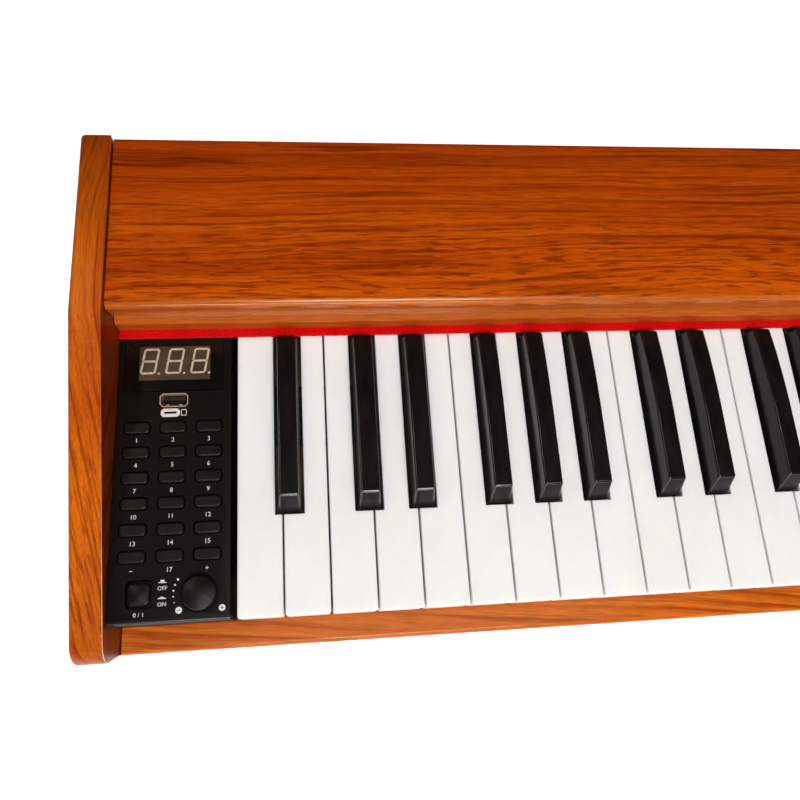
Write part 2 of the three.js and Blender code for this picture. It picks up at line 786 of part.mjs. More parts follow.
// A push button: cap through the panel, flange under it and foot over the board's switch
function pushButton(width, length, corner, rise, travel) {
  const foot = -panelBoardDrop + travel + jointGap;
  const cap = planSlab(roundedRectangle(width, length, corner), rise - foot).translate(0, 0, foot);
  const flangeTop = -panelPlate - jointGap;
  const flange = boxBetween(
    [-width / 2 - buttonFlange, -length / 2 - buttonFlange, flangeTop - flangeHeight],
    [width / 2 + buttonFlange, length / 2 + buttonFlange, flangeTop],
  );
  return geometryOf(solid(cap).add(solid(flange)));
}

function addControls() {
  for (const [name, place] of Object.entries(buttonPlaces)) {
    const button = pushButton(buttonWidth, buttonLength, buttonCorner, buttonRise, buttonTravel);
    add(name, button, 'buttonPlastic', ...onPanel(place), keyTop);
  }
  const power = pushButton(powerSize, powerSize, powerCorner, powerRise, powerTravel);
  add('power_button', power, 'buttonPlastic', ...onPanel(powerPlace), keyTop);
  addVolumeKnob();
}

function addVolumeKnob() {
  const profile = [
    [0, jointGap - panelBoardDrop],
    [shaftRadius, jointGap - panelBoardDrop],
    [shaftRadius, knobLift],
    [knobRadius, knobLift],
    [knobRadius, knobRise - knobDome],
    [knobTopRadius, knobRise],
    [0, knobRise],
  ];
  const points = profile.map(([radius, height]) => new THREE.Vector2(radius, height));
  const knob = new THREE.LatheGeometry(points, knobSides).rotateX(Math.PI / 2);
  add('volume_knob', geometryOf(solid(knob)), 'buttonPlastic', ...onPanel(knobPlace), keyTop);
}

addCheeks();
addCrossBoard('top_panel', lidOutline());
addCrossBoard('top_moulding', mouldingOutline());
addCrossBoard('front_rail', frontRailOutline());
addBottomBoard();
addBackPanel();
addFelt();
addJackPlate();
addMainBoard();
addSpeakers();
addKeyFrame();
addContactBoard();
addSingleKeys();
addKeyCombs();
addControlPanel();
addDisplayWindow();
addPanelBoard();
addUsbSocket();
addControls();

export default piano;
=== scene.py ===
import math
import random

import bmesh
import bpy
from mathutils import Matrix, Vector, noise


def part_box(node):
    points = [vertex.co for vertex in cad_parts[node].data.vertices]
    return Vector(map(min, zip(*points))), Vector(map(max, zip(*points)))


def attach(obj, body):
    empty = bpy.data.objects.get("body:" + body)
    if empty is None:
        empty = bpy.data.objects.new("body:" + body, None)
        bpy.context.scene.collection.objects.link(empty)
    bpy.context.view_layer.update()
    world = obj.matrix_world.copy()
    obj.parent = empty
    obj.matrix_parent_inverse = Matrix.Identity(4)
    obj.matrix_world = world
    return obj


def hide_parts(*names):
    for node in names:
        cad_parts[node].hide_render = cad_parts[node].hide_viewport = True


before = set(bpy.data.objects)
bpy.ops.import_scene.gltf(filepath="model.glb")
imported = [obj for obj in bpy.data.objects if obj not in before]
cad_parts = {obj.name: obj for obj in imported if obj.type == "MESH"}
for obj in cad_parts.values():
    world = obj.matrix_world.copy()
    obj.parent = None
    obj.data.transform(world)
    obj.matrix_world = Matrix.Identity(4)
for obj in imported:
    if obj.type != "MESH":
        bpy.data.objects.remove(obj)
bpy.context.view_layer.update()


# Studio
# The piano lies on a white table and is seen from above its bass end, tilted a little.
# Three soft lamps hang over the player's side and a weak warm one far out at the left.

def tone(red, green, blue):
    """Linear colour from the 0 to 255 values that a screen shows."""
    shares = [value / 255 for value in (red, green, blue)]
    return (*[s / 12.92 if s <= 0.04045 else ((s + 0.055) / 1.055) ** 2.4 for s in shares], 1)


def add_node(tree, kind, sockets=None, **settings):
    """Shader node with its settings, and with a value or a link in each socket named."""
    made = tree.nodes.new(kind)
    for key, value in settings.items():
        setattr(made, key, value)
    for key, value in (sockets or {}).items():
        if isinstance(value, bpy.types.NodeSocket):
            tree.links.new(value, made.inputs[key])
        else:
            made.inputs[key].default_value = value
    return made


def maths(tree, operation, *values):
    """Result of a math node on values and links."""
    return add_node(tree, "ShaderNodeMath", dict(enumerate(values)), operation=operation).outputs[0]


def spread(tree, value, low, high, start=0.0, end=1.0):
    """A value's range from low to high, drawn over start to end and held there."""
    return add_node(tree, "ShaderNodeMapRange", {
        "Value": value, "From Min": low, "From Max": high, "To Min": start, "To Max": end,
    }).outputs["Result"]


def seen_directly(tree):
    """The ray's facts, and 1 for rays from the camera, straight or through glass."""
    path = add_node(tree, "ShaderNodeLightPath").outputs
    return path, maths(tree, "MAXIMUM", path["Is Camera Ray"], path["Is Transmission Ray"])


white = (1, 1, 1, 1)
camera_place = Vector((-0.542573, -0.127485, 0.459165))
camera_heading = math.radians(21.983)
camera_down = math.radians(71.293)
camera_roll = math.radians(19.338)
table_gap = 0.0003      # table top below the piano's resting face
close_rays = 8          # shorter rays than so many table gaps pass the table top
table_paint = tone(240, 240, 240)
gloss_heights = (0.05, 0.45)    # rises of a direction between which the room dims in the gloss
horizon = 0.05

camera = bpy.data.objects.new("camera", bpy.data.cameras.new("camera"))
camera.data.lens = 33.41
camera.data.sensor_width = 36
camera.data.clip_start = 0.01
turn = Matrix.Rotation(-camera_heading, 4, "Z")
turn = turn @ Matrix.Rotation(math.pi / 2 - camera_down, 4, "X")
turn = turn @ Matrix.Rotation(camera_roll, 4, "Z")
camera.matrix_world = Matrix.Translation(camera_place) @ turn
bpy.context.collection.objects.link(camera)
bpy.context.scene.camera = camera
bpy.context.scene.view_settings.view_transform = "Standard"


def light_the_room(fill, below, rim, ceiling):
    """World that the camera sees as white, with its strengths for soft rays from above and
    from below the table top, and for glossy rays that rise a little and steeply."""
    world = bpy.data.worlds.new("room")
    bpy.context.scene.world = world
    world.use_nodes = True
    tree = world.node_tree
    tree.nodes.clear()
    path, direct = seen_directly(tree)
    direction = add_node(tree, "ShaderNodeTexCoord").outputs["Generated"]
    height = add_node(tree, "ShaderNodeSeparateXYZ", {"Vector": direction}).outputs["Z"]
    indirect = add_node(tree, "ShaderNodeMix", {
        "Factor": path["Is Glossy Ray"],
        "A": spread(tree, height, -horizon, 0.0, below, fill),
        "B": spread(tree, height, *gloss_heights, rim, ceiling),
    }).outputs["Result"]
    strength = add_node(tree, "ShaderNodeMix", {"Factor": direct, "A": indirect, "B": 1.0})
    shown = add_node(tree, "ShaderNodeBackground", {
        "Color": white, "Strength": strength.outputs["Result"],
    })
    add_node(tree, "ShaderNodeOutputWorld", {"Surface": shown.outputs["Background"]})


def lay_the_floor(half_width, glow, near, far):
    """Table top, white with the piano's soft shadow, and not there for a look from below.

    Its glow for the camera and for glossy rays grows to full white from near to far out."""
    mesh = bpy.data.meshes.new("floor")
    corners = [(-half_width, -half_width), (half_width, -half_width),
               (half_width, half_width), (-half_width, half_width)]
    mesh.from_pydata([(x, y, -table_gap) for x, y in corners], [], [(0, 1, 2, 3)])
    floor = bpy.data.objects.new("floor", mesh)
    bpy.context.collection.objects.link(floor)
    material = bpy.data.materials.new("floor_white")
    material.use_nodes = True
    tree = material.node_tree
    tree.nodes.clear()
    path, direct = seen_directly(tree)
    spot = add_node(tree, "ShaderNodeNewGeometry").outputs
    away = add_node(tree, "ShaderNodeVectorMath", {0: spot["Position"]}, operation="LENGTH")
    glowing = spread(tree, away.outputs["Value"], near, far, glow, 1.0)
    light = add_node(tree, "ShaderNodeEmission", {"Color": white, "Strength": glowing})
    paint = add_node(tree, "ShaderNodeBsdfDiffuse", {"Color": table_paint})
    lit = add_node(tree, "ShaderNodeAddShader", {0: paint.outputs[0], 1: light.outputs[0]})
    mixed = add_node(tree, "ShaderNodeMixShader", {
        0: maths(tree, "MAXIMUM", direct, path["Is Glossy Ray"]),
        1: paint.outputs[0], 2: lit.outputs[0],
    })
    close = maths(tree, "LESS_THAN", path["Ray Length"], close_rays * table_gap)
    nothing = add_node(tree, "ShaderNodeBsdfTransparent")
    shown = add_node(tree, "ShaderNodeMixShader", {
        0: maths(tree, "MAXIMUM", spot["Backfacing"], close),
        1: mixed.outputs[0], 2: nothing.outputs[0],
    })
    add_node(tree, "ShaderNodeOutputMaterial", {"Surface": shown.outputs[0]})
    mesh.materials.append(material)


def hang_lamp(name, place, aim, size, power, colour):
    lamp = bpy.data.lights.new(name, "AREA")
    lamp.shape = "RECTANGLE"
    lamp.size, lamp.size_y = size
    lamp.energy = power
    lamp.color = colour
    holder = bpy.data.objects.new(name, lamp)
    holder.visible_camera = False
    holder.location = place
    holder.rotation_euler = (Vector(aim) - Vector(place)).to_track_quat("-Z", "Y").to_euler()
    bpy.context.collection.objects.link(holder)


light_the_room(fill=0.15, below=0.8, rim=0.25, ceiling=0.012)
lay_the_floor(half_width=6.0, glow=0.72, near=0.9, far=3.0)
panel_side = (-0.40, 0.0, 0.07)
neutral, warm = (1.0, 0.995, 0.99), (1.0, 0.85, 0.7)
hang_lamp("front_lamp", (-0.36, -0.85, 1.32), panel_side, (0.55, 0.4), 11.6, neutral)
hang_lamp("low_lamp", (-0.50, -1.60, 0.52), panel_side, (0.9, 0.2), 9.0, neutral)
hang_lamp("overhead_lamp", (-0.29, -0.42, 1.4), (-0.29, -0.1, 0.07), (1.0, 0.8), 6.4, neutral)
hang_lamp("left_lamp", (-1.03, 0.23, 1.05), (-0.45, 0.0, 0.07), (0.1, 0.1), 0.7, warm)


# Cheeks
# The two end boards of the case, 16 mm board wrapped in a printed wood foil, glued and
# screwed to the cross boards. The top edge runs flat, bends down and ends in a round nose.

def arc(centre, radius, start, end, steps):
    """Points of an arc in a plane, from one angle in degrees to another."""
    angles = [math.radians(start + (end - start) * k / steps) for k in range(steps + 1)]
    return [Vector((centre[0] + radius * math.cos(a), centre[1] + radius * math.sin(a)))
            for a in angles]


def inset_outline(points, distance, sharpest=0.35):
    """The outline, which runs counter-clockwise, drawn in by a distance."""
    moved = []
    for i, here in enumerate(points):
        before = (here - points[i - 1]).normalized()
        after = (points[(i + 1) % len(points)] - here).normalized()
        inward = Vector((-before.y, before.x))
        middle = (inward + Vector((-after.y, after.x))).normalized()
        moved.append(here + middle * (distance / max(middle.dot(inward), sharpest)))
    return moved


def round_levels(low, high, low_edge, high_edge, steps):
    """Heights and insets of a slab whose two rims are rounded."""
    levels = []
    for k in range(steps + 1):
        angle = math.pi / 2 * k / steps
        levels.append((low + low_edge * (1 - math.cos(angle)), low_edge * (1 - math.sin(angle))))
    for k in range(steps, -1, -1):
        angle = math.pi / 2 * k / steps
        levels.append((high - high_edge * (1 - math.cos(angle)),
                       high_edge * (1 - math.sin(angle))))
    return levels


def loft(mesh, outline, levels, place):
    """Closed skin over an outline drawn at each level: height, inset and, if given, a scale."""
    rings = []
    for height, inset, *scale in levels:
        share = scale[0] if scale else 1
        drawn = inset_outline(outline, inset) if inset else outline
        rings.append([mesh.verts.new(place(p.x * share, p.y * share, height)) for p in drawn])
    count = len(outline)
    for lower, upper in zip(rings, rings[1:]):
        for i in range(count):
            following = (i + 1) % count
            mesh.faces.new((lower[i], lower[following], upper[following], upper[i]))
    bottom = mesh.faces.new(rings[0][::-1])
    mesh.faces.new(rings[-1])
    return bottom


def lofted(outline, levels, place):
    """The same skin as a bmesh of its own."""
    mesh = bmesh.new()
    loft(mesh, outline, levels, place)
    return mesh


def slab(low, high):
    """Levels of a plain plate."""
    return [(low, 0.0), (high, 0.0)]


def along_x(u, v, height):
    return Vector((height, u, v))


def make_piece(name, mesh, materials, body="case", stands_for=(), smooth_below=35):
    """Object from a bmesh, with its finishes and the CAD body that it rides on."""
    bmesh.ops.recalc_face_normals(mesh, faces=mesh.faces)
    data = bpy.data.meshes.new(name)
    mesh.to_mesh(data)
    mesh.free()
    for face in data.polygons:
        face.use_smooth = True
    data.set_sharp_from_angle(angle=math.radians(smooth_below))
    piece = bpy.data.objects.new(name, data)
    bpy.context.collection.objects.link(piece)
    for material in materials:
        data.materials.append(material)
    even = piece.modifiers.new("even_normals", "WEIGHTED_NORMAL")
    even.keep_sharp = True
    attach(piece, body)
    if stands_for:
        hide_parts(*stands_for)
    return piece


def new_material(name, colour, roughness, inputs=None):
    """Material with its node tree, its surface node and the place that is shaded."""
    material = bpy.data.materials.new(name)
    material.use_nodes = True
    tree = material.node_tree
    surface = tree.nodes["Principled BSDF"]
    for key, value in {"Base Color": colour, "Roughness": roughness, **(inputs or {})}.items():
        surface.inputs[key].default_value = value
    place = add_node(tree, "ShaderNodeTexCoord").outputs["Object"]
    return material, tree, surface, place


def apart(tree, place):
    return add_node(tree, "ShaderNodeSeparateXYZ", {"Vector": place}).outputs


def soft_noise(tree, place, waves, detail, roughness=0.5):
    """Noise with so many waves per metre, on all axes or on each."""
    scale = waves if isinstance(waves, tuple) else (waves, waves, waves)
    scaled = add_node(tree, "ShaderNodeMapping", {"Vector": place, "Scale": scale})
    return add_node(tree, "ShaderNodeTexNoise", {
        "Vector": scaled.outputs["Vector"], "Scale": 1.0, "Detail": detail,
        "Roughness": roughness, "Distortion": 0.0,
    }).outputs["Fac"]


def ramp(tree, value, stops):
    """Colour ramp from (position, colour) stops; a colour is linear or three screen values."""
    made = add_node(tree, "ShaderNodeValToRGB", {"Fac": value})
    marks = made.color_ramp.elements
    while len(marks) < len(stops):
        marks.new(0.5)
    for mark, (position, colour) in zip(marks, stops):
        mark.position = position
        mark.color = colour if len(colour) == 4 else tone(*colour)
    return made.outputs["Color"]


def mix_colour(tree, share, first, second, blend="MIX"):
    made = add_node(tree, "ShaderNodeMix", {"Factor": share}, data_type="RGBA", blend_type=blend)
    for socket, value in (("A", first), ("B", second)):
        target = next(s for s in made.inputs if s.name == socket and s.type == "RGBA")
        if isinstance(value, bpy.types.NodeSocket):
            tree.links.new(value, target)
        else:
            target.default_value = value
    return next(s for s in made.outputs if s.type == "RGBA")


def grey(level):
    return (level, level, level, 1)


def add_bump(tree, surface, height, strength, depth):
    bump = add_node(tree, "ShaderNodeBump", {
        "Height": height, "Strength": strength, "Distance": depth,
    })
    tree.links.new(bump.outputs["Normal"], surface.inputs["Normal"])


def centred(tree, value, width):
    """Noise moved to both sides of zero and given a width in metres."""
    return maths(tree, "MULTIPLY", maths(tree, "SUBTRACT", value, 0.5), width)


def added(tree, *values):
    total, *others = values
    for value in others:
        total = maths(tree, "ADD", total, value)
    return total


def marked(tree, value, strength, low, middle, high):
    """Full strength where a noise lies below low, half at the middle and none above high."""
    return ramp(tree, value, [(low, grey(strength)), (middle, grey(0.5 * strength)),
                              (high, grey(0.0))])


def bent_past(tree, along, slope, start, reach, heading):
    """Sideways shift of the rings past a place along the grain, growing to a slope far out."""
    past = maths(tree, "MULTIPLY", maths(tree, "SUBTRACT", along, start), heading)
    past = maths(tree, "MAXIMUM", past, 0.0)
    share = maths(tree, "DIVIDE", maths(tree, "MULTIPLY", past, past), added(tree, past, reach))
    return maths(tree, "MULTIPLY", share, slope)


lacquer_tint = (1.0, 0.95, 0.65, 1)
waver_share = 0.12      # short wavering of the rings, as a share of their swing
uneven_rings = 2.4      # how many rings apart the same ring may lie along the grain
pore_depth = 0.0002


def wood_foil(name, tones, turned=0.0, ring=0.009, swing=0.03, rings=0.5, lines=0.8,
              ripples=0.6, line_count=400.0, ripple_zone=None, bends=(), painted_falloff=None,
              rise=1.0, roughness=0.25, gloss=0.4, relief=0.04):
    """Printed wood grain under clear lacquer: growth rings cut lengthwise, ripples and pores.

    The grain is turned from X by an angle. Ring is the distance from ring to ring and swing
    how far they wander, in metres. Rings, lines and ripples say how dark these are, and
    line_count how many lines there are per metre. Ripple_zone gives two places along Y
    between which the ripples set in. Each of the bends gives the slope, start, reach and
    heading of a bend in the grain. The painted falloff gives places along Y with a tint there,
    painted light and shade by where the light falls. Rise says how much the height counts,
    gloss how much the lacquer mirrors, relief how deep the pores are.
    """
    dark, deep, mid, light = [tone(*each) for each in tones]
    material, tree, surface, place = new_material(name, mid, roughness, {
        "Specular Tint": lacquer_tint, "Specular IOR Level": gloss,
    })
    back = apart(tree, place)["Y"]
    grain = add_node(tree, "ShaderNodeMapping", {"Vector": place, "Rotation": (0, 0, turned)})
    grain = grain.outputs["Vector"]
    axes = apart(tree, grain)

    wander = soft_noise(tree, grain, (2.4, 9.0, 9.0), detail=2.0)
    waver = soft_noise(tree, grain, (16.0, 40.0, 40.0), detail=2.0)
    across = added(tree, axes["Y"], maths(tree, "MULTIPLY", axes["Z"], rise),
                   centred(tree, wander, swing), centred(tree, waver, waver_share * swing))
    for bend in bends:
        across = added(tree, across, bent_past(tree, back, *bend))
    uneven = soft_noise(tree, grain, (0.6, 70.0, 70.0), detail=1.0)
    shifted = added(tree, across, centred(tree, uneven, uneven_rings * ring))
    ringed = ramp(tree, maths(tree, "FRACT", maths(tree, "DIVIDE", shifted, ring)), [
        (0.0, mid), (0.12, light), (0.55, mid), (0.80, deep), (0.91, dark), (1.0, mid),
    ])

    broad = soft_noise(tree, grain, (2.0, 34.0, 34.0), detail=3.0)
    colour = ramp(tree, broad, [(0.26, deep), (0.50, mid), (0.74, light)])
    shown = soft_noise(tree, grain, (5.0, 70.0, 70.0), detail=2.0)
    shown = ramp(tree, shown, [(0.38, grey(0.15 * rings)), (0.62, grey(rings))])
    colour = mix_colour(tree, shown, colour, ringed)

    drawn = add_node(tree, "ShaderNodeCombineXYZ", {"X": axes["X"], "Y": across}).outputs["Vector"]
    streaks = soft_noise(tree, drawn, (9.0, line_count, 0.0), detail=2.0)
    colour = mix_colour(tree, marked(tree, streaks, lines, 0.33, 0.41, 0.46), colour, dark)
    rippled = soft_noise(tree, drawn, (60.0, 620.0, 0.0), detail=2.0)
    rippled = marked(tree, rippled, ripples, 0.37, 0.42, 0.46)
    if ripple_zone:
        rippled = maths(tree, "MULTIPLY", rippled, spread(tree, back, *ripple_zone, 0.15, 1.0))
    colour = mix_colour(tree, rippled, colour, dark)

    fine = soft_noise(tree, grain, (90.0, 1500.0, 1500.0), detail=3.0, roughness=0.6)
    colour = mix_colour(tree, 1.0, colour, ramp(tree, fine, [
        (0.34, grey(0.76)), (0.50, grey(1.0)), (0.66, grey(1.14)),
    ]), "MULTIPLY")
    # Painted light and shade: a tint along Y multiplied into the grain.
    if painted_falloff:
        first, last = painted_falloff[0][0], painted_falloff[-1][0]
        colour = mix_colour(tree, 1.0, colour, ramp(tree, spread(tree, back, first, last), [
            ((y - first) / (last - first), (*tint, 1)) for y, tint in painted_falloff
        ]), "MULTIPLY")
    tree.links.new(colour, surface.inputs["Base Color"])
    dull = spread(tree, fine, 0.3, 0.7, roughness + 0.04, roughness - 0.03)
    tree.links.new(dull, surface.inputs["Roughness"])
    add_bump(tree, surface, fine, relief, pore_depth)
    return material


cheek_low, cheek_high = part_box("left_cheek")
key_low, key_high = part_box("white_key_a0")
rail_low, rail_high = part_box("front_rail")
key_top = key_high.z
key_front = key_low.y
cheek_front_rise = 0.0032       # top edge over the key tops, at the key fronts
cheek_bend = 0.149              # from the key fronts to the bend in the top edge
bend_back = key_front + cheek_bend
cheek_nose = 0.012
cheek_rim_outer = 0.0026
cheek_rim_inner = 0.0004
nose_steps = 20
rim_steps = 4
cheek_flat, outer_turn, inner_turn = 0.99, 0.6, 0.3     # outward shares of a face's normal


def cheek_outline():
    slope = math.atan2(cheek_high.z - key_top - cheek_front_rise, cheek_bend)
    nose_y = cheek_low.y + cheek_nose
    slope_at_nose = key_top + cheek_front_rise + math.tan(slope) * (nose_y - key_front)
    nose_z = slope_at_nose - cheek_nose / math.cos(slope)
    return [
        Vector((rail_low.y, cheek_low.z)),
        Vector((cheek_high.y, cheek_low.z)),
        Vector((cheek_high.y, cheek_high.z)),
        Vector((bend_back, cheek_high.z)),
        *arc((nose_y, nose_z), cheek_nose, 90 + math.degrees(slope), 180, nose_steps),
        Vector((rail_low.y, rail_high.z)),
    ]


def cheek_wood(name, tones):
    return wood_foil(
        name, tones, turned=math.pi / 2, ring=0.006, swing=0.004, rings=0.35, lines=0.6,
        ripples=0.55, line_count=520.0, roughness=0.32, gloss=0.22, rise=0.35,
        ripple_zone=(bend_back + 0.02, key_front + 0.03),
        bends=((-0.26, cheek_high.y - 0.05, 0.012, 1), (-0.13, bend_back + 0.025, 0.05, -1)),
        # Painted shade: darker towards the rear and round the nose.
        painted_falloff=((cheek_high.y, (0.44, 0.29, 0.5)), (bend_back + 0.03, (0.92, 0.86, 0.8)),
              (key_front + 0.05, (1.0, 0.95, 0.5)), (cheek_low.y, (0.68, 0.56, 0.2))))


cheek_foil = cheek_wood("cheek_foil", ((118, 18, 0), (168, 56, 0), (208, 100, 1), (224, 118, 2)))
# Darker copy of the cheek foil: painted shade for the inner face and the outer rim.
cheek_shaded_foil = cheek_wood(
    "cheek_shaded_foil", ((70, 12, 0), (108, 34, 0), (140, 54, 2), (152, 66, 4)))
# Painted highlight: the inner upper rim is pale, palest near the key fronts.
cheek_rim_highlight, tree, surface, place = new_material("cheek_rim_highlight", tone(214, 150, 90), 0.3)
tree.links.new(ramp(tree, spread(tree, apart(tree, place)["Y"], key_front, key_front + 0.12), [
    (0.0, (236, 190, 140)), (0.5, (206, 128, 60)), (1.0, (170, 74, 14)),
]), surface.inputs["Base Color"])


def add_cheek(node, low_rim, high_rim):
    """Cheek board; its foil is painted darker on its inner face and where it bends over the outer
    rim, as painted shade, and paler on the inner upper rim, as a painted highlight."""
    low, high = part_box(node)
    outward = 1 if high_rim > low_rim else -1
    levels = round_levels(low.x, high.x, low_rim, high_rim, rim_steps)
    mesh = lofted(cheek_outline(), levels, along_x)
    bmesh.ops.recalc_face_normals(mesh, faces=mesh.faces)
    for face in mesh.faces:
        side = face.normal.x * outward
        # Painted shade on the inner face and the outer rim, painted highlight on the inner upper
        # rim.
        if side < -cheek_flat or outer_turn < side < cheek_flat:
            face.material_index = 1
        elif -cheek_flat < side < -inner_turn and face.normal.z > 0:
            face.material_index = 2
    make_piece(f"{node}_board", mesh, [cheek_foil, cheek_shaded_foil, cheek_rim_highlight],
               stands_for=[node])


add_cheek("left_cheek", cheek_rim_outer, cheek_rim_inner)
add_cheek("right_cheek", cheek_rim_inner, cheek_rim_outer)


# Lid and moulding
# The lid is a board with a rounded front edge, set in between the cheeks. The moulding
# under it is a milled, foiled batten that holds the felt.

lid_low, lid_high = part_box("top_panel")
lid_nose = 0.004
lid_lean = 0.002
lid_rim = 0.0006
lid_end_rim = 0.00015
lid_tones = ((104, 28, 0), (162, 56, 1), (196, 80, 3), (210, 96, 6))
moulding_tones = ((112, 40, 8), (152, 64, 16), (180, 86, 26), (192, 100, 34))
lid_foil = wood_foil(
    "lid_foil", lid_tones, rings=0.4, lines=0.65, ripples=0.65, roughness=0.22,
    ripple_zone=(lid_high.y - 0.03, lid_low.y + 0.03),
    # Painted light and shade: darker towards the rear, lighter just behind the nose and darker
    # again on the front face.
    painted_falloff=((lid_high.y, (0.66, 0.49, 0.5)), ((lid_low.y + lid_high.y) / 2, (0.93, 0.86, 0.8)),
          (lid_low.y + 0.006, (1.12, 1.11, 1.0)), (lid_low.y + 0.002, (0.8, 0.8, 1.0))))


def smooth_foil(name, roughness):
    return wood_foil(name, moulding_tones, ring=0.012, swing=0.02, rings=0.2, lines=0.12,
                     ripples=0.0, roughness=roughness, relief=0.0)


lid_front_foil = smooth_foil("lid_front_foil", 0.13)
moulding_foil = smooth_foil("moulding_foil", 0.16)
front_facing = 0.5
board_rim = 0.0004
board_rim_steps = 2


def add_cross_board(node, outline, material, rim=board_rim, front=None):
    """Board that runs from cheek to cheek, from its side view; its front may have its own foil."""
    low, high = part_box(node)
    mesh = lofted(outline, round_levels(low.x, high.x, rim, rim, board_rim_steps), along_x)
    bmesh.ops.recalc_face_normals(mesh, faces=mesh.faces)
    for face in mesh.faces:
        face.material_index = 1 if front and face.normal.y < -front_facing else 0
    materials = [material, front] if front else [material]
    make_piece(f"{node}_board", mesh, materials, stands_for=[node])


lid_outline = [
    Vector((lid_high.y, lid_low.z)),
    Vector((lid_high.y, lid_high.z)),
    *arc((lid_low.y + lid_nose, lid_high.z - lid_nose), lid_nose, 90, 178, 10),
    Vector((lid_low.y + lid_lean - 0.4 * lid_rim, lid_low.z + 1.4 * lid_rim)),
    Vector((lid_low.y + lid_lean + lid_rim, lid_low.z)),
]
add_cross_board("top_panel", lid_outline, lid_foil, lid_end_rim, lid_front_foil)

mould_low, mould_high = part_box("top_moulding")
mould_foot = 0.0008
mould_slope_rise = 0.0026
mould_shadow_run = 0.001
mould_rim = 0.0006
mould_end_rim = 0.0002
mould_front = mould_low.y
mould_nose = mould_low.z + 0.0097
mould_slope_back = mould_front + 0.0035
mould_slope_top = mould_nose + mould_slope_rise
moulding_outline = [
    Vector((mould_high.y, mould_low.z)),
    Vector((mould_high.y, mould_high.z)),
    Vector((mould_slope_back + mould_shadow_run, mould_high.z)),
    Vector((mould_slope_back + 0.3 * mould_rim, mould_slope_top + 0.4 * mould_rim)),
    Vector((mould_slope_back - 0.6 * mould_rim, mould_slope_top - 0.3 * mould_rim)),
    Vector((mould_front + 0.7 * mould_rim, mould_nose + 0.5 * mould_rim)),
    Vector((mould_front + 0.2 * mould_rim, mould_nose)),
    Vector((mould_front + 0.1 * mould_rim, mould_nose - mould_rim)),
    Vector((mould_front + mould_foot, mould_low.z)),
]
add_cross_board("top_moulding", moulding_outline, moulding_foil, mould_end_rim)


# Front rail
# The rail closes the case under the key fronts. It is foiled board like the cheeks, with a
# softly rounded upper edge, and is screwed to them.

rail_edge = 0.0025
rail_rear_edge = 0.0008
rail_foil = wood_foil(
    "rail_foil", ((128, 42, 3), (172, 70, 8), (206, 100, 20), (220, 126, 36)), turned=0.12,
    ring=0.007, swing=0.02, rings=0.5, lines=0.5, ripples=0.2, gloss=0.3)
rail_outline = [
    Vector((rail_low.y, rail_low.z)),
    Vector((rail_high.y, rail_low.z)),
    *arc((rail_high.y - rail_rear_edge, rail_high.z - rail_rear_edge), rail_rear_edge, 0, 90, 3),
    *arc((rail_low.y + rail_edge, rail_high.z - rail_edge), rail_edge, 90, 180, 8),
]
add_cross_board("front_rail", rail_outline, rail_foil)


# Felt strip
# A strip of red pressed wool felt, tucked under the moulding and lying just over the rear
# of the keys. Its cut front edge is fluffy, with single fibres standing out.

felt_low, felt_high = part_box("felt_strip")
felt_step = 0.0012
felt_round = 0.0007
felt_fluff = 0.00016        # how far the wool of the front edge stands out
fluff_waves = 600
curl_waves = 1700
curl_share = 0.7
lift_share = 0.6
fluff_seed, fibre_seed = 7, 11
fibre_count = 1500
fibre_radius = 0.00004
fibre_lengths = (0.0004, 0.0009)

felt_red, tree, surface, place = new_material("felt_red", tone(214, 7, 8), 0.95, {
    "Sheen Weight": 0.08, "Sheen Roughness": 0.5, "Specular IOR Level": 0.05,
})
felt_wool = soft_noise(tree, place, 900.0, detail=4.0, roughness=0.7)
felt_clouds = soft_noise(tree, place, (90.0, 120.0, 120.0), detail=3.0, roughness=0.6)
felt_colour = mix_colour(
    tree, 0.35,
    ramp(tree, felt_wool, [(0.30, (160, 1, 2)), (0.50, (214, 5, 5)), (0.72, (240, 22, 20))]),
    ramp(tree, felt_clouds, [(0.35, (168, 2, 4)), (0.65, (222, 12, 12))]))
tree.links.new(felt_colour, surface.inputs["Base Color"])
add_bump(tree, surface, felt_wool, strength=0.6, depth=0.0003)


def add_fibre(mesh, root, tip):
    """Thin three-sided hair from root to tip."""
    across = (tip - root).normalized().orthogonal() * fibre_radius
    turn_third = Matrix.Rotation(2 * math.pi / 3, 3, tip - root)
    foot = []
    for _ in range(3):
        foot.append(mesh.verts.new(root + across))
        across = turn_third @ across
    point = mesh.verts.new(tip)
    for i in range(3):
        mesh.faces.new((foot[i], foot[(i + 1) % 3], point))
    mesh.faces.new(foot[::-1])


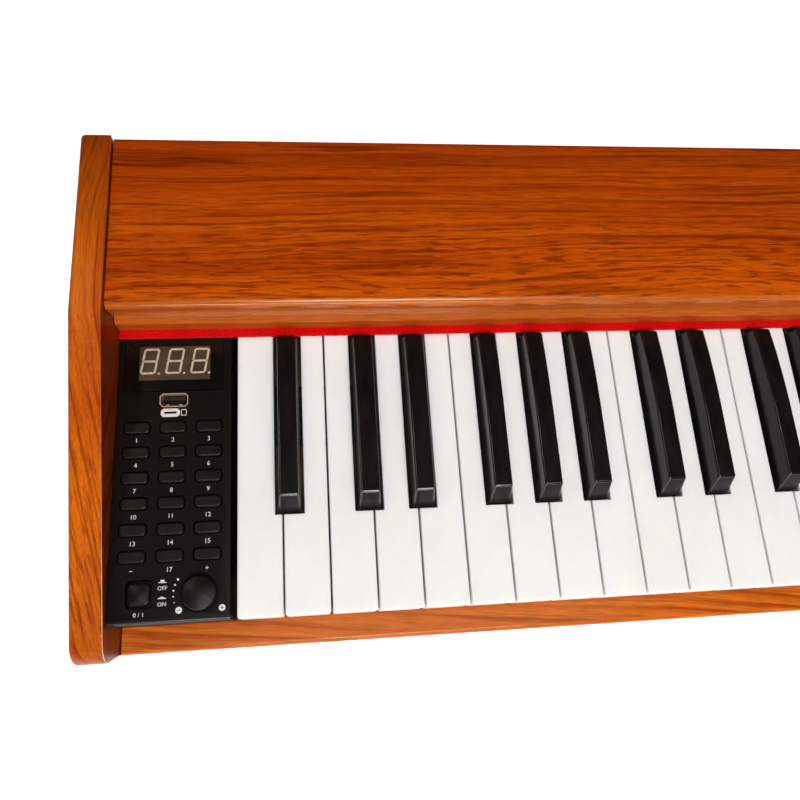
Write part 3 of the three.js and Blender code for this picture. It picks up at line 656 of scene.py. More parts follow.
def add_felt():
    half_height = (felt_high.z - felt_low.z) / 2
    middle = (felt_low.y + felt_round, (felt_low.z + felt_high.z) / 2)
    outline = [
        Vector((felt_high.y, felt_low.z)),
        Vector((felt_high.y, felt_high.z)),
        Vector((felt_low.y + 3 * felt_round, felt_high.z)),
        Vector((felt_low.y + 2 * felt_round, felt_high.z)),
        *[Vector((p.x, middle[1] + (p.y - middle[1]) * half_height / felt_round))
          for p in arc(middle, felt_round, 90, 270, 6)],
        Vector((felt_low.y + 2 * felt_round, felt_low.z)),
    ]
    noise.seed_set(fluff_seed)
    steps = round((felt_high.x - felt_low.x) / felt_step)
    step = (felt_high.x - felt_low.x) / steps
    mesh = lofted(outline, [(felt_low.x + k * step, 0.0) for k in range(steps + 1)], along_x)
    for vert in mesh.verts:
        if vert.co.y > felt_low.y + 4 * felt_round:
            continue
        nudge = noise.noise_vector(vert.co * fluff_waves)
        nudge += curl_share * noise.noise_vector(vert.co * curl_waves)
        vert.co.y = max(vert.co.y + (nudge.y + 0.5) * felt_fluff, felt_low.y)
        vert.co.z = min(vert.co.z + nudge.z * felt_fluff * lift_share, felt_high.z)
    draw = random.Random(fibre_seed)
    for _ in range(fibre_count):
        root = Vector((draw.uniform(felt_low.x, felt_high.x),
                       felt_low.y + draw.uniform(0.2, 3.4) * felt_round,
                       felt_high.z - draw.uniform(0.1, 0.6) * felt_round))
        lean = Vector((draw.uniform(-1, 1), draw.uniform(-1, 0.2), draw.uniform(0.0, 0.8)))
        add_fibre(mesh, root, root + lean.normalized() * draw.uniform(*fibre_lengths))
    make_piece("felt_strip_wool", mesh, [felt_red], stands_for=["felt_strip"],
               smooth_below=60)


add_felt()


# Key frame and contact board
# A folded steel tray, zinc plated and passivated to a brownish tint, carries all the keys.
# The green contact board lies on it, under the keys; its green is painted dark, as painted shade.

def clouded(name, colour, roughness, waves, detail, stops, inputs=None, skin=None):
    """Material whose colour drifts softly over the stops of a ramp.

    Waves are per metre. Skin gives the waves, detail, strength and depth of a fine bump.
    """
    material, tree, surface, place = new_material(name, tone(*colour), roughness, inputs)
    drift = ramp(tree, soft_noise(tree, place, waves, detail), stops)
    tree.links.new(drift, surface.inputs["Base Color"])
    if skin:
        skin_waves, skin_detail, strength, depth = skin
        add_bump(tree, surface, soft_noise(tree, place, skin_waves, skin_detail), strength, depth)
    return material


def refinish(node, material):
    """New finish on a CAD node that stays as it is."""
    data = bpy.data.objects[node].data
    data.materials.clear()
    data.materials.append(material)


frame_steel = clouded(
    "frame_steel", (150, 126, 98), roughness=0.4, waves=(30.0, 60.0, 60.0), detail=4.0,
    stops=[(0.35, (120, 98, 74)), (0.55, (156, 132, 104)), (0.7, (168, 150, 118))],
    inputs={"Metallic": 0.85})
refinish("key_frame", frame_steel)

# Painted shade: the green is painted darker than bare board, for boards deep under the keys.
shaded_board_green, tree, surface, place = new_material("shaded_board_green", tone(8, 46, 28), 0.4)
tracks = add_node(tree, "ShaderNodeTexBrick", {
    "Vector": place, "Color1": tone(9, 48, 30), "Color2": tone(6, 40, 25),
    "Mortar": tone(24, 76, 50), "Scale": 40.0, "Mortar Size": 0.03,
})
tree.links.new(tracks.outputs["Color"], surface.inputs["Base Color"])
for node in ("contact_board", "panel_board", "main_board"):
    refinish(node, shaded_board_green)


# White keys
# Injection-moulded white keys, hollow below, each with a saddle that straddles the pivot
# rail. The top's edges and front corners are rounded, and cut-outs clear the black keys.

key_gap = 0.001
key_corner = 0.0013
key_rim = 0.0005
key_depth = 0.014
lip_thickness = 0.003
notch_front = 0.0503
notch_width = 0.015
saddle_wall = 0.004
saddle_drop = 0.004
key_tail = key_high.y - key_front
lip_drop = key_top - key_low.z - key_depth
pivot_back = 0.192          # from the key fronts to the pivot rail's middle
saddle_half = 0.0033
saddle_front = pivot_back - saddle_half
key_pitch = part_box("white_key_b0")[0].x - key_low.x
keys_left = key_low.x - key_gap / 2
white_count = 52
single_count = 12       # keys that turn one by one
letters = "abcdefg"

key_white, tree, surface, place = new_material("key_white", tone(243, 241, 238), 0.3, {
    "Specular IOR Level": 0.2, "Subsurface Weight": 0.8, "Subsurface Scale": 0.0025,
    "Subsurface Radius": (1.0, 0.9, 0.75),
})
white_cloud_and_painted_light = ramp(tree, soft_noise(tree, place, (40.0, 25.0, 40.0), detail=3.0), [
    (0.35, (241, 239, 235)), (0.65, (245, 243, 240)),
])
# Painted light: the keys are painted lighter towards the felt, against the shade under the moulding
# there, and a little less red against the felt's bounce.
painted_light_share = spread(tree, apart(tree, place)["Y"], felt_low.y - 0.09, felt_low.y)
painted_rear_light = ramp(tree, painted_light_share, [(0.0, grey(1.0)), (1.0, (1.05, 1.09, 1.085, 1))])
white_cloud_and_painted_light = mix_colour(tree, 1.0, white_cloud_and_painted_light, painted_rear_light, "MULTIPLY")
tree.links.new(white_cloud_and_painted_light, surface.inputs["Base Color"])
white_skin = soft_noise(tree, place, (500.0, 350.0, 500.0), detail=2.0)
add_bump(tree, surface, white_skin, strength=0.03, depth=0.0002)


def sharp_shift(letter):
    """From a white key's left side to the middle of the black key after it."""
    low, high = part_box(f"black_key_{letter}1_sharp")
    return (low.x + high.x) / 2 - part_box(f"white_key_{letter}1")[0].x + key_gap / 2


sharp_shifts = {letter: sharp_shift(letter) for letter in "cdfga"}


def note_name(index):
    return f"{letters[index % 7]}{(index + 5) // 7}"


def sharp_middle(index):
    """Middle of the black key after a white key, from the first key's left, or None."""
    shift = sharp_shifts.get(letters[index % 7])
    if shift is None or not 0 <= index < white_count - 1:
        return None
    return index * key_pitch + shift


def white_outline(index):
    left, right = key_gap / 2, key_pitch - key_gap / 2
    before, after = sharp_middle(index - 1), sharp_middle(index)
    left_cut = left if before is None else before + notch_width / 2 - index * key_pitch
    right_cut = right if after is None else after - notch_width / 2 - index * key_pitch
    points = arc((left + key_corner, key_corner), key_corner, 180, 270, 4)
    points += arc((right - key_corner, key_corner), key_corner, 270, 360, 4)
    if right_cut < right:
        points += [Vector((right, notch_front)), Vector((right_cut, notch_front))]
    points += [Vector((right_cut, key_tail)), Vector((left_cut, key_tail))]
    if left_cut > left:
        points += [Vector((left_cut, notch_front)), Vector((left, notch_front))]
    return points


def drop_from_underside(mesh, bottom, start, end, depth):
    """Wall hanging from the key's underside between two distances from its front."""
    geometry = [bottom, *bottom.edges, *bottom.verts]
    for cut in (start, end):
        split = bmesh.ops.bisect_plane(
            mesh, geom=geometry, plane_co=(0, key_front + cut, 0), plane_no=(0, 1, 0))
        faces = [g for g in split["geom"] if isinstance(g, bmesh.types.BMFace)]
        edges = {edge for face in faces for edge in face.edges}
        geometry = [*faces, *edges, *{vert for face in faces for vert in face.verts}]
    inside = [f for f in faces if start < f.calc_center_median().y - key_front < end]
    raised = bmesh.ops.extrude_discrete_faces(mesh, faces=inside)["faces"]
    bmesh.ops.translate(mesh, verts=list({v for f in raised for v in f.verts}), vec=(0, 0, -depth))
    return max((f for f in faces if f.is_valid and f not in raised), key=lambda f: f.calc_area())


def add_white_key(mesh, index):
    """One white key, with its front lip and the two walls of its saddle."""
    left = keys_left + index * key_pitch

    def place(u, v, height):
        return Vector((left + u, key_front + v, key_top + height))

    levels = [(-key_depth, 0.0)]
    for k in range(rim_steps):
        angle = math.pi / 2 * k / (rim_steps - 1)
        levels.append((-key_rim * (1 - math.sin(angle)), key_rim * (1 - math.cos(angle))))
    bottom = loft(mesh, white_outline(index), levels, place)
    bottom = drop_from_underside(mesh, bottom, 0.0, lip_thickness, lip_drop)
    bottom = drop_from_underside(
        mesh, bottom, saddle_front - saddle_wall, saddle_front, saddle_drop)
    drop_from_underside(mesh, bottom, key_tail - saddle_wall, key_tail, saddle_drop)


for index in range(single_count):
    mesh = bmesh.new()
    add_white_key(mesh, index)
    node = f"white_key_{note_name(index)}"
    make_piece(f"{node}_moulding", mesh, [key_white], node, [node])

mesh = bmesh.new()
for index in range(single_count, white_count):
    add_white_key(mesh, index)
make_piece("white_keys_f2_to_c8", mesh, [key_white], "white_key_comb",
           ["white_key_comb"])


# Black keys
# Moulded black caps, narrower towards the top, with a sloped front and rounded edges. They
# are satin on top, polished on the edges, and pivot on the same rail as the white keys.

black_front = 0.0513
black_height = 0.0125
black_slope_run = 0.0065
black_base = 0.0118
black_top = 0.0096
black_fall_run = 0.051      # length of the top's rear part, which curves down
black_fall_drop = 0.004
black_rear_round = 0.0012
black_brow = 0.0016         # rounding from the sloped front to the top
black_rim = 0.001
black_rim_steps = 3
tail_drop = 0.0006          # key's rear part below the key tops
hook_drop = 0.0095
hook_reach = 0.003
cap_end = felt_low.y - key_front - 0.0029
side_facing, edge_facing = 0.95, 0.25       # sideways shares of a face's normal
front_edge_facing, front_edge_rise = 0.15, 0.55


def black_plastic(name, gloss, roughness):
    """Black key plastic, faintly scuffed, with a thin warm sheen at grazing angles."""
    material, tree, surface, place = new_material(name, tone(20, 17, 15), roughness, {
        "Specular IOR Level": gloss, "Sheen Weight": 0.07, "Sheen Roughness": 0.3,
        "Sheen Tint": tone(200, 180, 150),
    })
    scuff = soft_noise(tree, place, (250.0, 60.0, 250.0), detail=4.0)
    scuffed = ramp(tree, scuff, [(0.35, (17, 14, 12)), (0.65, (23, 20, 17))])
    tree.links.new(scuffed, surface.inputs["Base Color"])
    dull = spread(tree, scuff, 0.3, 0.7, roughness - 0.03, roughness + 0.04)
    tree.links.new(dull, surface.inputs["Roughness"])
    return material


black_finishes = [
    black_plastic("key_black", gloss=0.14, roughness=0.3),
    black_plastic("key_black_edge", gloss=0.8, roughness=0.18),
    black_plastic("key_black_side", gloss=0.2, roughness=0.22),
]


def black_outline():
    """Side view of a black key, from its key fronts and key tops."""
    saddle_back = key_tail - saddle_wall
    hook_front = saddle_back - hook_reach
    foot = -key_depth - saddle_drop
    points = [
        (black_front, -key_depth), (saddle_front - saddle_wall, -key_depth),
        (saddle_front - saddle_wall, foot), (saddle_front, foot), (saddle_front, -key_depth),
        (saddle_back, -key_depth), (saddle_back, foot), (key_tail, foot),
        (key_tail, -hook_drop), (hook_front, -hook_drop), (hook_front, -tail_drop),
        (cap_end, -tail_drop),
    ]
    fall_radius = (black_fall_run ** 2 + black_fall_drop ** 2) / (2 * black_fall_drop)
    fall_angle = math.degrees(math.asin(black_fall_run / fall_radius))
    rear_middle = (cap_end - black_rear_round, black_height - black_fall_drop - black_rear_round)
    rear = arc(rear_middle, black_rear_round, 0, 90 - fall_angle, 3)
    fall_middle = (cap_end - black_fall_run, black_height - fall_radius)
    rear += arc(fall_middle, fall_radius, 92 - fall_angle, 90, 8)
    slope = math.degrees(math.atan2(black_height, black_slope_run))
    reach = black_brow / math.tan(math.radians(90 - slope / 2))
    brow_middle = (black_front + black_slope_run + reach, black_height - black_brow)
    front = arc(brow_middle, black_brow, 90, 90 + slope, 4)
    return [Vector(p) for p in points] + rear + front + [Vector((black_front, 0.0))]


def add_black_key(mesh, middle):
    """One black key: its side view with rounded rims, drawn in towards the top."""
    def place(u, v, height):
        rise = max(v, 0.0) / black_height
        narrowing = (black_base + (black_top - black_base) * rise) / black_base
        return Vector((keys_left + middle + height * narrowing, key_front + u, key_top + v))

    half = black_base / 2
    made_before = len(mesh.faces)
    levels = round_levels(-half, half, black_rim, black_rim, black_rim_steps)
    loft(mesh, black_outline(), levels, place)
    mesh.faces.ensure_lookup_table()
    made = mesh.faces[made_before:]
    bmesh.ops.recalc_face_normals(mesh, faces=made)
    for face in made:
        across, back, up = abs(face.normal.x), face.normal.y, face.normal.z
        if across > side_facing:
            face.material_index = 2
        elif across > edge_facing or (back < -front_edge_facing and up > front_edge_rise):
            face.material_index = 1


for index in range(single_count):
    if sharp_middle(index) is None:
        continue
    mesh = bmesh.new()
    add_black_key(mesh, sharp_middle(index))
    node = f"black_key_{note_name(index)}_sharp"
    make_piece(f"{node}_cap", mesh, black_finishes, node, [node])

mesh = bmesh.new()
for index in range(single_count, white_count):
    if sharp_middle(index) is not None:
        add_black_key(mesh, sharp_middle(index))
make_piece("black_keys_f2_to_a7", mesh, black_finishes, "black_key_comb",
           ["black_key_comb"])


# Control panel
# A black ABS cover, moulded with a rounded front lip, wells for the buttons, a recess for
# the display lens and a round well for the volume knob. It is screwed from below.

def rounded_rectangle(width, length, corner, steps=5):
    u, v = width / 2 - corner, length / 2 - corner
    points = []
    for start, (side, end) in zip((0, 90, 180, 270), ((u, v), (-u, v), (-u, -v), (u, -v))):
        points += arc((side, end), corner, start, start + 90, steps)
    return points


def circle(radius, count=32):
    return arc((0, 0), radius, 0, 360 - 360 / count, count - 1)


def middle_of(node):
    low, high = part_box(node)
    return (low + high) / 2


def at(centre, level=0.0):
    """Placing function for a plan outline round a centre, from a level upwards."""
    def place(u, v, height):
        return Vector((centre.x + u, centre.y + v, level + height))
    return place


def cut_away(piece_mesh, cutters):
    """Boolean difference of a bmesh and other bmeshes, as a new bmesh."""
    objects = []
    for part in (piece_mesh, *cutters):
        bmesh.ops.recalc_face_normals(part, faces=part.faces)
        data = bpy.data.meshes.new("stock")
        part.to_mesh(data)
        part.free()
        stock = bpy.data.objects.new("stock", data)
        bpy.context.collection.objects.link(stock)
        objects.append(stock)
    stock, *tools = objects
    for tool in tools:
        step = stock.modifiers.new("cut", "BOOLEAN")
        step.operation = "DIFFERENCE"
        step.solver = "EXACT"
        step.object = tool
    bpy.context.view_layer.update()
    shaped = stock.evaluated_get(bpy.context.evaluated_depsgraph_get())
    result = bmesh.new()
    result.from_mesh(shaped.to_mesh())
    for used in objects:
        data = used.data
        bpy.data.objects.remove(used)
        bpy.data.meshes.remove(data)
    return result


panel_low, panel_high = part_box("control_panel")
panel_lip = 0.0026
panel_plate = 0.0025
panel_wall = 0.0025
panel_side_edge = 0.0004
panel_soft_edge = 0.0001
panel_soft_above = math.radians(50)
panel_inner_corner = 0.001
lip_facing = 0.4
seat_gap = 0.0003       # beside a seated piece
cut_run = 0.01          # how far a cutting mesh runs past what it cuts
button_names = [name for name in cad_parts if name.startswith("button_row")]
cap_width, cap_length, cap_corner = 0.0132, 0.0059, 0.0019
well_gap = 0.0005
power_well = (0.0131, 0.0136, 0.0028)
lens_low, lens_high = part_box("display_window")
lens_size = lens_high - lens_low
lens_corner = 0.001
usb_low, usb_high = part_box("usb_socket")
usb_size = usb_high - usb_low
usb_cut_corner = 0.0018
knob_low, knob_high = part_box("volume_knob")
knob_radius = (knob_high.x - knob_low.x) / 2
knob_well_gap = 0.0007
knob_well_depth = 0.0008
small_sides = 24        # of small round outlines
knob_middle = middle_of("volume_knob")

panel_black = clouded(
    "panel_black", (18, 12, 8), roughness=0.45, waves=25.0, detail=3.0,
    stops=[(0.35, (16, 10, 6)), (0.65, (20, 14, 9))],
    inputs={"Specular IOR Level": 0.1}, skin=(1800.0, 3.0, 0.25, 0.0001))
lip_black = new_material("panel_lip_black", tone(21, 16, 12), 0.22, {"Specular IOR Level": 0.4})[0]


def well(outline, centre, depth):
    return lofted(outline, slab(-depth, cut_run), at(centre, key_top))


def add_panel():
    lip_back = rail_high.y + seat_gap
    outline = [
        Vector((lip_back, panel_low.z)),
        Vector((panel_high.y, panel_low.z)),
        Vector((panel_high.y, panel_high.z)),
        *arc((panel_low.y + panel_lip, panel_high.z - panel_lip), panel_lip, 90, 180, 8),
        Vector((panel_low.y, rail_high.z + seat_gap)),
        Vector((lip_back, rail_high.z + seat_gap)),
    ]
    edge = panel_side_edge
    body = lofted(outline, round_levels(panel_low.x, panel_high.x, edge, edge, steps=2), along_x)
    inner = rounded_rectangle(panel_high.x - panel_low.x - 2 * panel_wall,
                              panel_high.y - lip_back + panel_wall, panel_inner_corner, steps=2)
    centre = Vector(((panel_low.x + panel_high.x) / 2,
                     (lip_back + panel_high.y + 3 * panel_wall) / 2, 0))
    hollow = lofted(inner, slab(-cut_run, key_top - panel_plate), at(centre))
    through = 2 * panel_plate
    cap_well = rounded_rectangle(
        cap_width + 2 * well_gap, cap_length + 2 * well_gap, cap_corner + well_gap)
    usb_well = rounded_rectangle(
        usb_size.x + 2 * seat_gap, usb_size.y + 2 * seat_gap, usb_cut_corner, steps=1)
    lens_well = rounded_rectangle(
        lens_size.x + 2 * seat_gap, lens_size.y + 2 * seat_gap, lens_corner + seat_gap)
    knob_well = circle(knob_radius + knob_well_gap, small_sides)
    mesh = cut_away(body, [
        hollow,
        *[well(cap_well, middle_of(name), through) for name in button_names],
        well(rounded_rectangle(*power_well), middle_of("power_button"), through),
        well(usb_well, middle_of("usb_socket"), through),
        well(lens_well, middle_of("display_window"), lens_size.z + seat_gap),
        well(knob_well, knob_middle, knob_well_depth),
    ])
    for face in mesh.faces:
        if face.normal.y < -lip_facing and face.normal.z > lip_facing:
            face.material_index = 1
    panel = make_piece("control_panel_cover", mesh, [panel_black, lip_black],
                       stands_for=["control_panel"])
    soften = panel.modifiers.new("soft_edges", "BEVEL")
    soften.width = panel_soft_edge
    soften.segments = 2
    soften.limit_method = "ANGLE"
    soften.angle_limit = panel_soft_above


add_panel()


# Display
# Three seven-segment digits, switched off, behind a smoked lens that lies flush in the
# panel. The lens is printed black on its back, all but the window over the digits.

window_size = (0.0372, 0.0194)
window_shift = Vector((0.0004, 0.0015, 0))
window_corner = 0.0004
display_gap = 0.0001        # round the display's face in the window
display_sink, display_thickness = 0.0003, 0.0009
digit_height = 0.0146
digit_width = 0.0083
digit_pitch = 0.01305
digit_bar = 0.0011
digit_overlap = 0.4         # share of a bar's width by which the bars reach over each other
digit_slant = math.tan(math.radians(9))
digit_gap = 0.00025
digit_shift = Vector((0.0006, 0.0012, 0))
digit_lead = 0.0006
digit_sink, digit_proud = 0.0002, 0.00008
point_radius = 0.00065
dot_sides = 12
point_reach, point_drop = 0.0023, 0.0002

lens_black = clouded(
    "lens_black", (14, 9, 7), roughness=0.18, waves=60.0, detail=3.0,
    stops=[(0.4, (12, 8, 6)), (0.6, (15, 10, 8))])
display_brown = clouded(
    "display_face", (70, 54, 40), roughness=0.3, waves=(90.0, 140.0, 90.0), detail=3.0,
    stops=[(0.35, (62, 47, 34)), (0.65, (80, 63, 47))])
digit_tan = clouded(
    "digit_tan", (198, 182, 158), roughness=0.35, waves=400.0, detail=2.0,
    stops=[(0.35, (184, 167, 143)), (0.65, (208, 193, 170))])


def add_ring(mesh, outer, inner, levels, place):
    """Frame between two outlines of as many points, over the levels given."""
    drawn = []
    for outline in (outer, inner):
        drawn.append([[mesh.verts.new(place(p.x, p.y, height)) for p in outline]
                      for height in levels])
    count = len(outer)
    for i in range(count):
        following = (i + 1) % count
        for rings in drawn:
            for lower, upper in zip(rings, rings[1:]):
                mesh.faces.new((lower[i], lower[following], upper[following], upper[i]))
        for level in (0, -1):
            out, into = drawn[0][level], drawn[1][level]
            mesh.faces.new((out[i], out[following], into[following], into[i]))


def add_display():
    centre = middle_of("display_window")
    window = [p + window_shift.to_2d() for p in rounded_rectangle(*window_size, window_corner)]
    outer = rounded_rectangle(lens_size.x, lens_size.y, lens_corner)
    mesh = bmesh.new()
    add_ring(mesh, outer, window, [lens_low.z, lens_high.z], at(centre))
    make_piece("display_lens", mesh, [lens_black], stands_for=["display_window"])
    plate = rounded_rectangle(*[size - 2 * display_gap for size in window_size], window_corner)
    levels = slab(-display_sink - display_thickness, -display_sink)
    mesh = lofted(plate, levels, at(centre + window_shift, lens_high.z))
    make_piece("display_face", mesh, [display_brown])


def segment_bar(length):
    """Bar with pointed ends, as a segment of a digit has."""
    half, tip = length / 2 - digit_gap, digit_bar / 2
    return [Vector(p) for p in ((-half, 0), (-half + tip, -tip), (half - tip, -tip),
                                (half, 0), (half - tip, tip), (-half + tip, tip))]


def add_digits():
    centre = middle_of("display_window") + window_shift + digit_shift
    half_width, half_height = (digit_width - digit_bar) / 2, (digit_height - digit_bar) / 2
    flat = segment_bar(2 * half_width + digit_overlap * digit_bar)
    upright = [Vector((-p.y, p.x)) for p in segment_bar(half_height + digit_overlap * digit_bar)]
    bars = [(flat, 0, half_height), (flat, 0, 0), (flat, 0, -half_height)]
    for side in (-half_width, half_width):
        bars += [(upright, side, half_height / 2), (upright, side, -half_height / 2)]
    point = circle(point_radius, dot_sides)
    bars.append((point, half_width + point_reach, -half_height - point_drop))
    mesh = bmesh.new()
    for number in (-1, 0, 1):
        for outline, across, along in bars:
            def place(u, v, height, across=across, along=along, number=number):
                x = across + u + (along + v) * digit_slant + number * digit_pitch - digit_lead
                top = lens_high.z - display_sink
                return Vector((centre.x + x, centre.y + along + v, top + height))
            loft(mesh, outline, slab(-digit_sink, digit_proud), place)
    make_piece("display_digits", mesh, [digit_tan])


add_display()
add_digits()


# Data socket
# A stamped metal shell with folded corners, soldered to the panel board, with a plastic
# tongue and two contact springs inside.

shell_gap = 0.00025         # round the shell in the panel's cut-out
shell_wall = 0.0005
shell_outer_corner, shell_inner_corner = 0.0015, 0.0012
shell_floor_low, shell_floor_high = 0.0005, 0.0015      # over the socket's underside
shell_floor_corner = 0.0009
tongue_size = (usb_size.x - 0.0035, 0.0021, 0.0003)
tongue_shift = Vector((0, 0.0013, 0))
tongue_foot, tongue_drop = 0.0012, 0.0015
spring_size = (0.0016, 0.0007, 0.0003)
spring_side, spring_front = 0.0034, 0.0024
spring_foot, spring_drop = 0.006, 0.0012
spring_rim = 0.0002

# Plated steel, given a pink-beige colour and only part metal finish: the pink is a painted
# reflection of the warm case, so the rim and springs show bright.
shell_metal_painted_reflection, tree, surface, place = new_material("shell_metal_painted_reflection", tone(215, 182, 162), 0.35, {
    "Metallic": 0.6,
})
shell_brush = soft_noise(tree, place, (200.0, 900.0, 900.0), detail=2.0)
tree.links.new(spread(tree, shell_brush, 0.0, 1.0, 0.3, 0.42), surface.inputs["Roughness"])
tongue_black = clouded(
    "tongue_black", (24, 22, 21), roughness=0.4, waves=300.0, detail=2.0,
    stops=[(0.35, (20, 18, 17)), (0.65, (29, 27, 25))])


def add_data_socket():
    centre = middle_of("usb_socket")
    width, length = usb_size.x - 2 * shell_gap, usb_size.y - 2 * shell_gap
    outer = rounded_rectangle(width, length, shell_outer_corner, steps=1)
    inner = rounded_rectangle(
        width - 2 * shell_wall, length - 2 * shell_wall, shell_inner_corner, steps=1)
    floor = rounded_rectangle(
        usb_size.x - 4 * shell_wall, usb_size.y - 4 * shell_wall, shell_floor_corner, steps=2)
    mesh = bmesh.new()
    add_ring(mesh, outer, inner, [usb_low.z, usb_high.z], at(centre))
    levels = slab(usb_low.z + shell_floor_low, usb_low.z + shell_floor_high)
    loft(mesh, floor, levels, at(centre))
    make_piece("usb_shell", mesh, [shell_metal_painted_reflection], stands_for=["usb_socket"])
    levels = round_levels(
        usb_low.z + tongue_foot, usb_high.z - tongue_drop, spring_rim, spring_rim, steps=2)
    mesh = lofted(rounded_rectangle(*tongue_size, steps=2), levels, at(centre + tongue_shift))
    make_piece("usb_tongue", mesh, [tongue_black])
    mesh = bmesh.new()
    levels = round_levels(
        usb_high.z - spring_foot, usb_high.z - spring_drop, spring_rim, spring_rim, steps=2)
    for side in (-spring_side, spring_side):
        spring = centre + Vector((side, -spring_front, 0))
        loft(mesh, rounded_rectangle(*spring_size, steps=3), levels, at(spring))
    make_piece("usb_springs", mesh, [shell_metal_painted_reflection])


add_data_socket()


# Push buttons and power button
# Black rubber-like plastic caps with softly rounded rims, each guided by a flange under
# the panel. The power button is square with a domed top and sits in a wider well.

button_black = clouded(
    "button_black", (24, 18, 14), roughness=0.32, waves=120.0, detail=2.0,
    stops=[(0.35, (22, 16, 12)), (0.65, (27, 21, 17))],
    inputs={"Specular IOR Level": 0.2}, skin=(1400.0, 3.0, 0.2, 0.0001))
button_flange = 0.0009
flange_top = -panel_plate - seat_gap
flange_height = 0.001
button_rim = 0.0009
power_width = 0.0107
power_corner = 0.0024
power_crown = 0.0006
power_step = 0.0006
dome_steps = 10


def cap_levels(node, rim_top):
    """Heights and insets of a button, from its foot over its flange to its rounded rim."""
    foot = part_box(node)[0].z - key_top
    flange_foot = flange_top - flange_height
    levels = [(foot, 0.0), (flange_foot, 0.0), (flange_foot, -button_flange),
              (flange_top, -button_flange), (flange_top, 0.0)]
    for k in range(rim_steps + 1):
        angle = math.pi / 2 * k / rim_steps
        levels.append((rim_top - button_rim * (1 - math.sin(angle)),
                       button_rim * (1 - math.cos(angle))))
    return levels


def add_button(node):
    levels = cap_levels(node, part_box(node)[1].z - key_top)
    outline = rounded_rectangle(cap_width, cap_length, cap_corner)
    mesh = lofted(outline, levels, at(middle_of(node), key_top))
    make_piece(f"{node}_cap", mesh, [button_black], node, [node])


def with_more_points(outline, step):
    """The outline with its long straight sides cut into short ones."""
    points = []
    for here, following in zip(outline, outline[1:] + outline[:1]):
        parts = max(1, round((following - here).length / step))
        points += [here.lerp(following, k / parts) for k in range(parts)]
    return points


def add_power_button(node):
    """Square cap with a top that swells like a pillow."""
    half = power_width / 2 - button_rim
    rim_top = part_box(node)[1].z - key_top - power_crown
    upright = at(middle_of(node), key_top)

    def place(u, v, height):
        swell = 0
        if height >= rim_top:
            swell = power_crown * (1 - (u / half) ** 2) * (1 - (v / half) ** 2)
        return upright(u, v, height + swell)

    levels = cap_levels(node, rim_top)
    for k in range(1, dome_steps):
        scale = 1 - k / dome_steps
        levels.append((rim_top, button_rim * scale, scale))
    outline = rounded_rectangle(power_width, power_width, power_corner, steps=6)
    mesh = lofted(with_more_points(outline, power_step), levels, place)
    make_piece(f"{node}_cap", mesh, [button_black], node, [node])


for name in button_names:
    add_button(name)
add_power_button("power_button")


# Volume knob
# A turned-looking moulded knob on a potentiometer shaft, domed on top, with a fine engraved
# line that points at its setting, drawn as a thin dark strip of painted shade.

knob_rise = knob_high.z - key_top
knob_foot = knob_low.z - key_top
knob_skirt = 0.0005         # knob's underside over the panel
knob_skirt_edge = 0.0003
knob_skirt_share = 0.97
knob_shoulder = 0.0033
knob_top_share = 0.86
knob_side_share = 0.985
knob_sag = 0.0009           # fall of the dome from its middle to the shoulder
shoulder_turn = math.radians(72)
shoulder_steps, top_steps, line_steps = 6, 9, 12
knob_sides = 72
shaft_radius = 0.003
line_heading = math.radians(-34.5)
line_start, line_end = 0.0030, 0.0066
line_half_width = 0.0002
line_proud = 0.00004

# Painted shade: a dark strip stands in for the shade inside the engraved line.
knob_groove_shade = clouded(
    "knob_groove_shade", (13, 11, 10), roughness=0.5, waves=900.0, detail=2.0,
    stops=[(0.35, (11, 9, 8)), (0.65, (17, 14, 12))])


def dome_height(radius):
    """Height of the knob's top over the panel, at a distance from its axis."""
    return knob_rise - knob_sag * (radius / (knob_top_share * knob_radius)) ** 2


def add_knob():
    shaft = shaft_radius / knob_radius
    levels = [(knob_foot, 0.0, shaft), (knob_skirt, 0.0, shaft),
              (knob_skirt, 0.0, knob_skirt_share), (knob_skirt + knob_skirt_edge, 0.0, 1.0)]
    for k in range(shoulder_steps + 1):
        angle = shoulder_turn * k / shoulder_steps
        scale = knob_top_share + (knob_side_share - knob_top_share) * math.cos(angle)
        climb = math.sin(angle) / math.sin(shoulder_turn)
        levels.append((knob_shoulder + (knob_rise - knob_sag - knob_shoulder) * climb, 0.0, scale))
    for k in range(1, top_steps):
        scale = knob_top_share * (1 - k / top_steps)
        levels.append((dome_height(scale * knob_radius), 0.0, scale))
    mesh = lofted(circle(knob_radius, knob_sides), levels, at(knob_middle, key_top))
    make_piece("volume_knob_cap", mesh, [button_black], "volume_knob",
               ["volume_knob"])


def add_knob_line():
    """Dark strip over the dome, painted shade for an engraved line, from beside its middle to its
    shoulder.
    """
    heading = Vector((math.cos(line_heading), math.sin(line_heading)))
    aside = Vector((-heading.y, heading.x)) * line_half_width
    mesh = bmesh.new()
    rings = []
    for k in range(line_steps + 1):
        radius = line_start + (line_end - line_start) * k / line_steps
        top = key_top + dome_height(radius)
        low, high = top - 3 * line_proud, top + line_proud
        corners = []
        for side, height in ((-1, low), (1, low), (1, high), (-1, high)):
            point = knob_middle.to_2d() + heading * radius + aside * side
            corners.append(mesh.verts.new((point.x, point.y, height)))
        rings.append(corners)
    for inner, outer in zip(rings, rings[1:]):
        for i in range(4):
            following = (i + 1) % 4
            mesh.faces.new((inner[i], inner[following], outer[following], outer[i]))
    mesh.faces.new(rings[0])
    mesh.faces.new(rings[-1])
    make_piece("volume_knob_line", mesh, [knob_groove_shade], "volume_knob")


add_knob()
add_knob_line()


# Printed marks
# White screen print on the panel: plain numbers under the buttons, minus and plus signs,
# ON and OFF beside the power button and a small memory stick under the data socket.

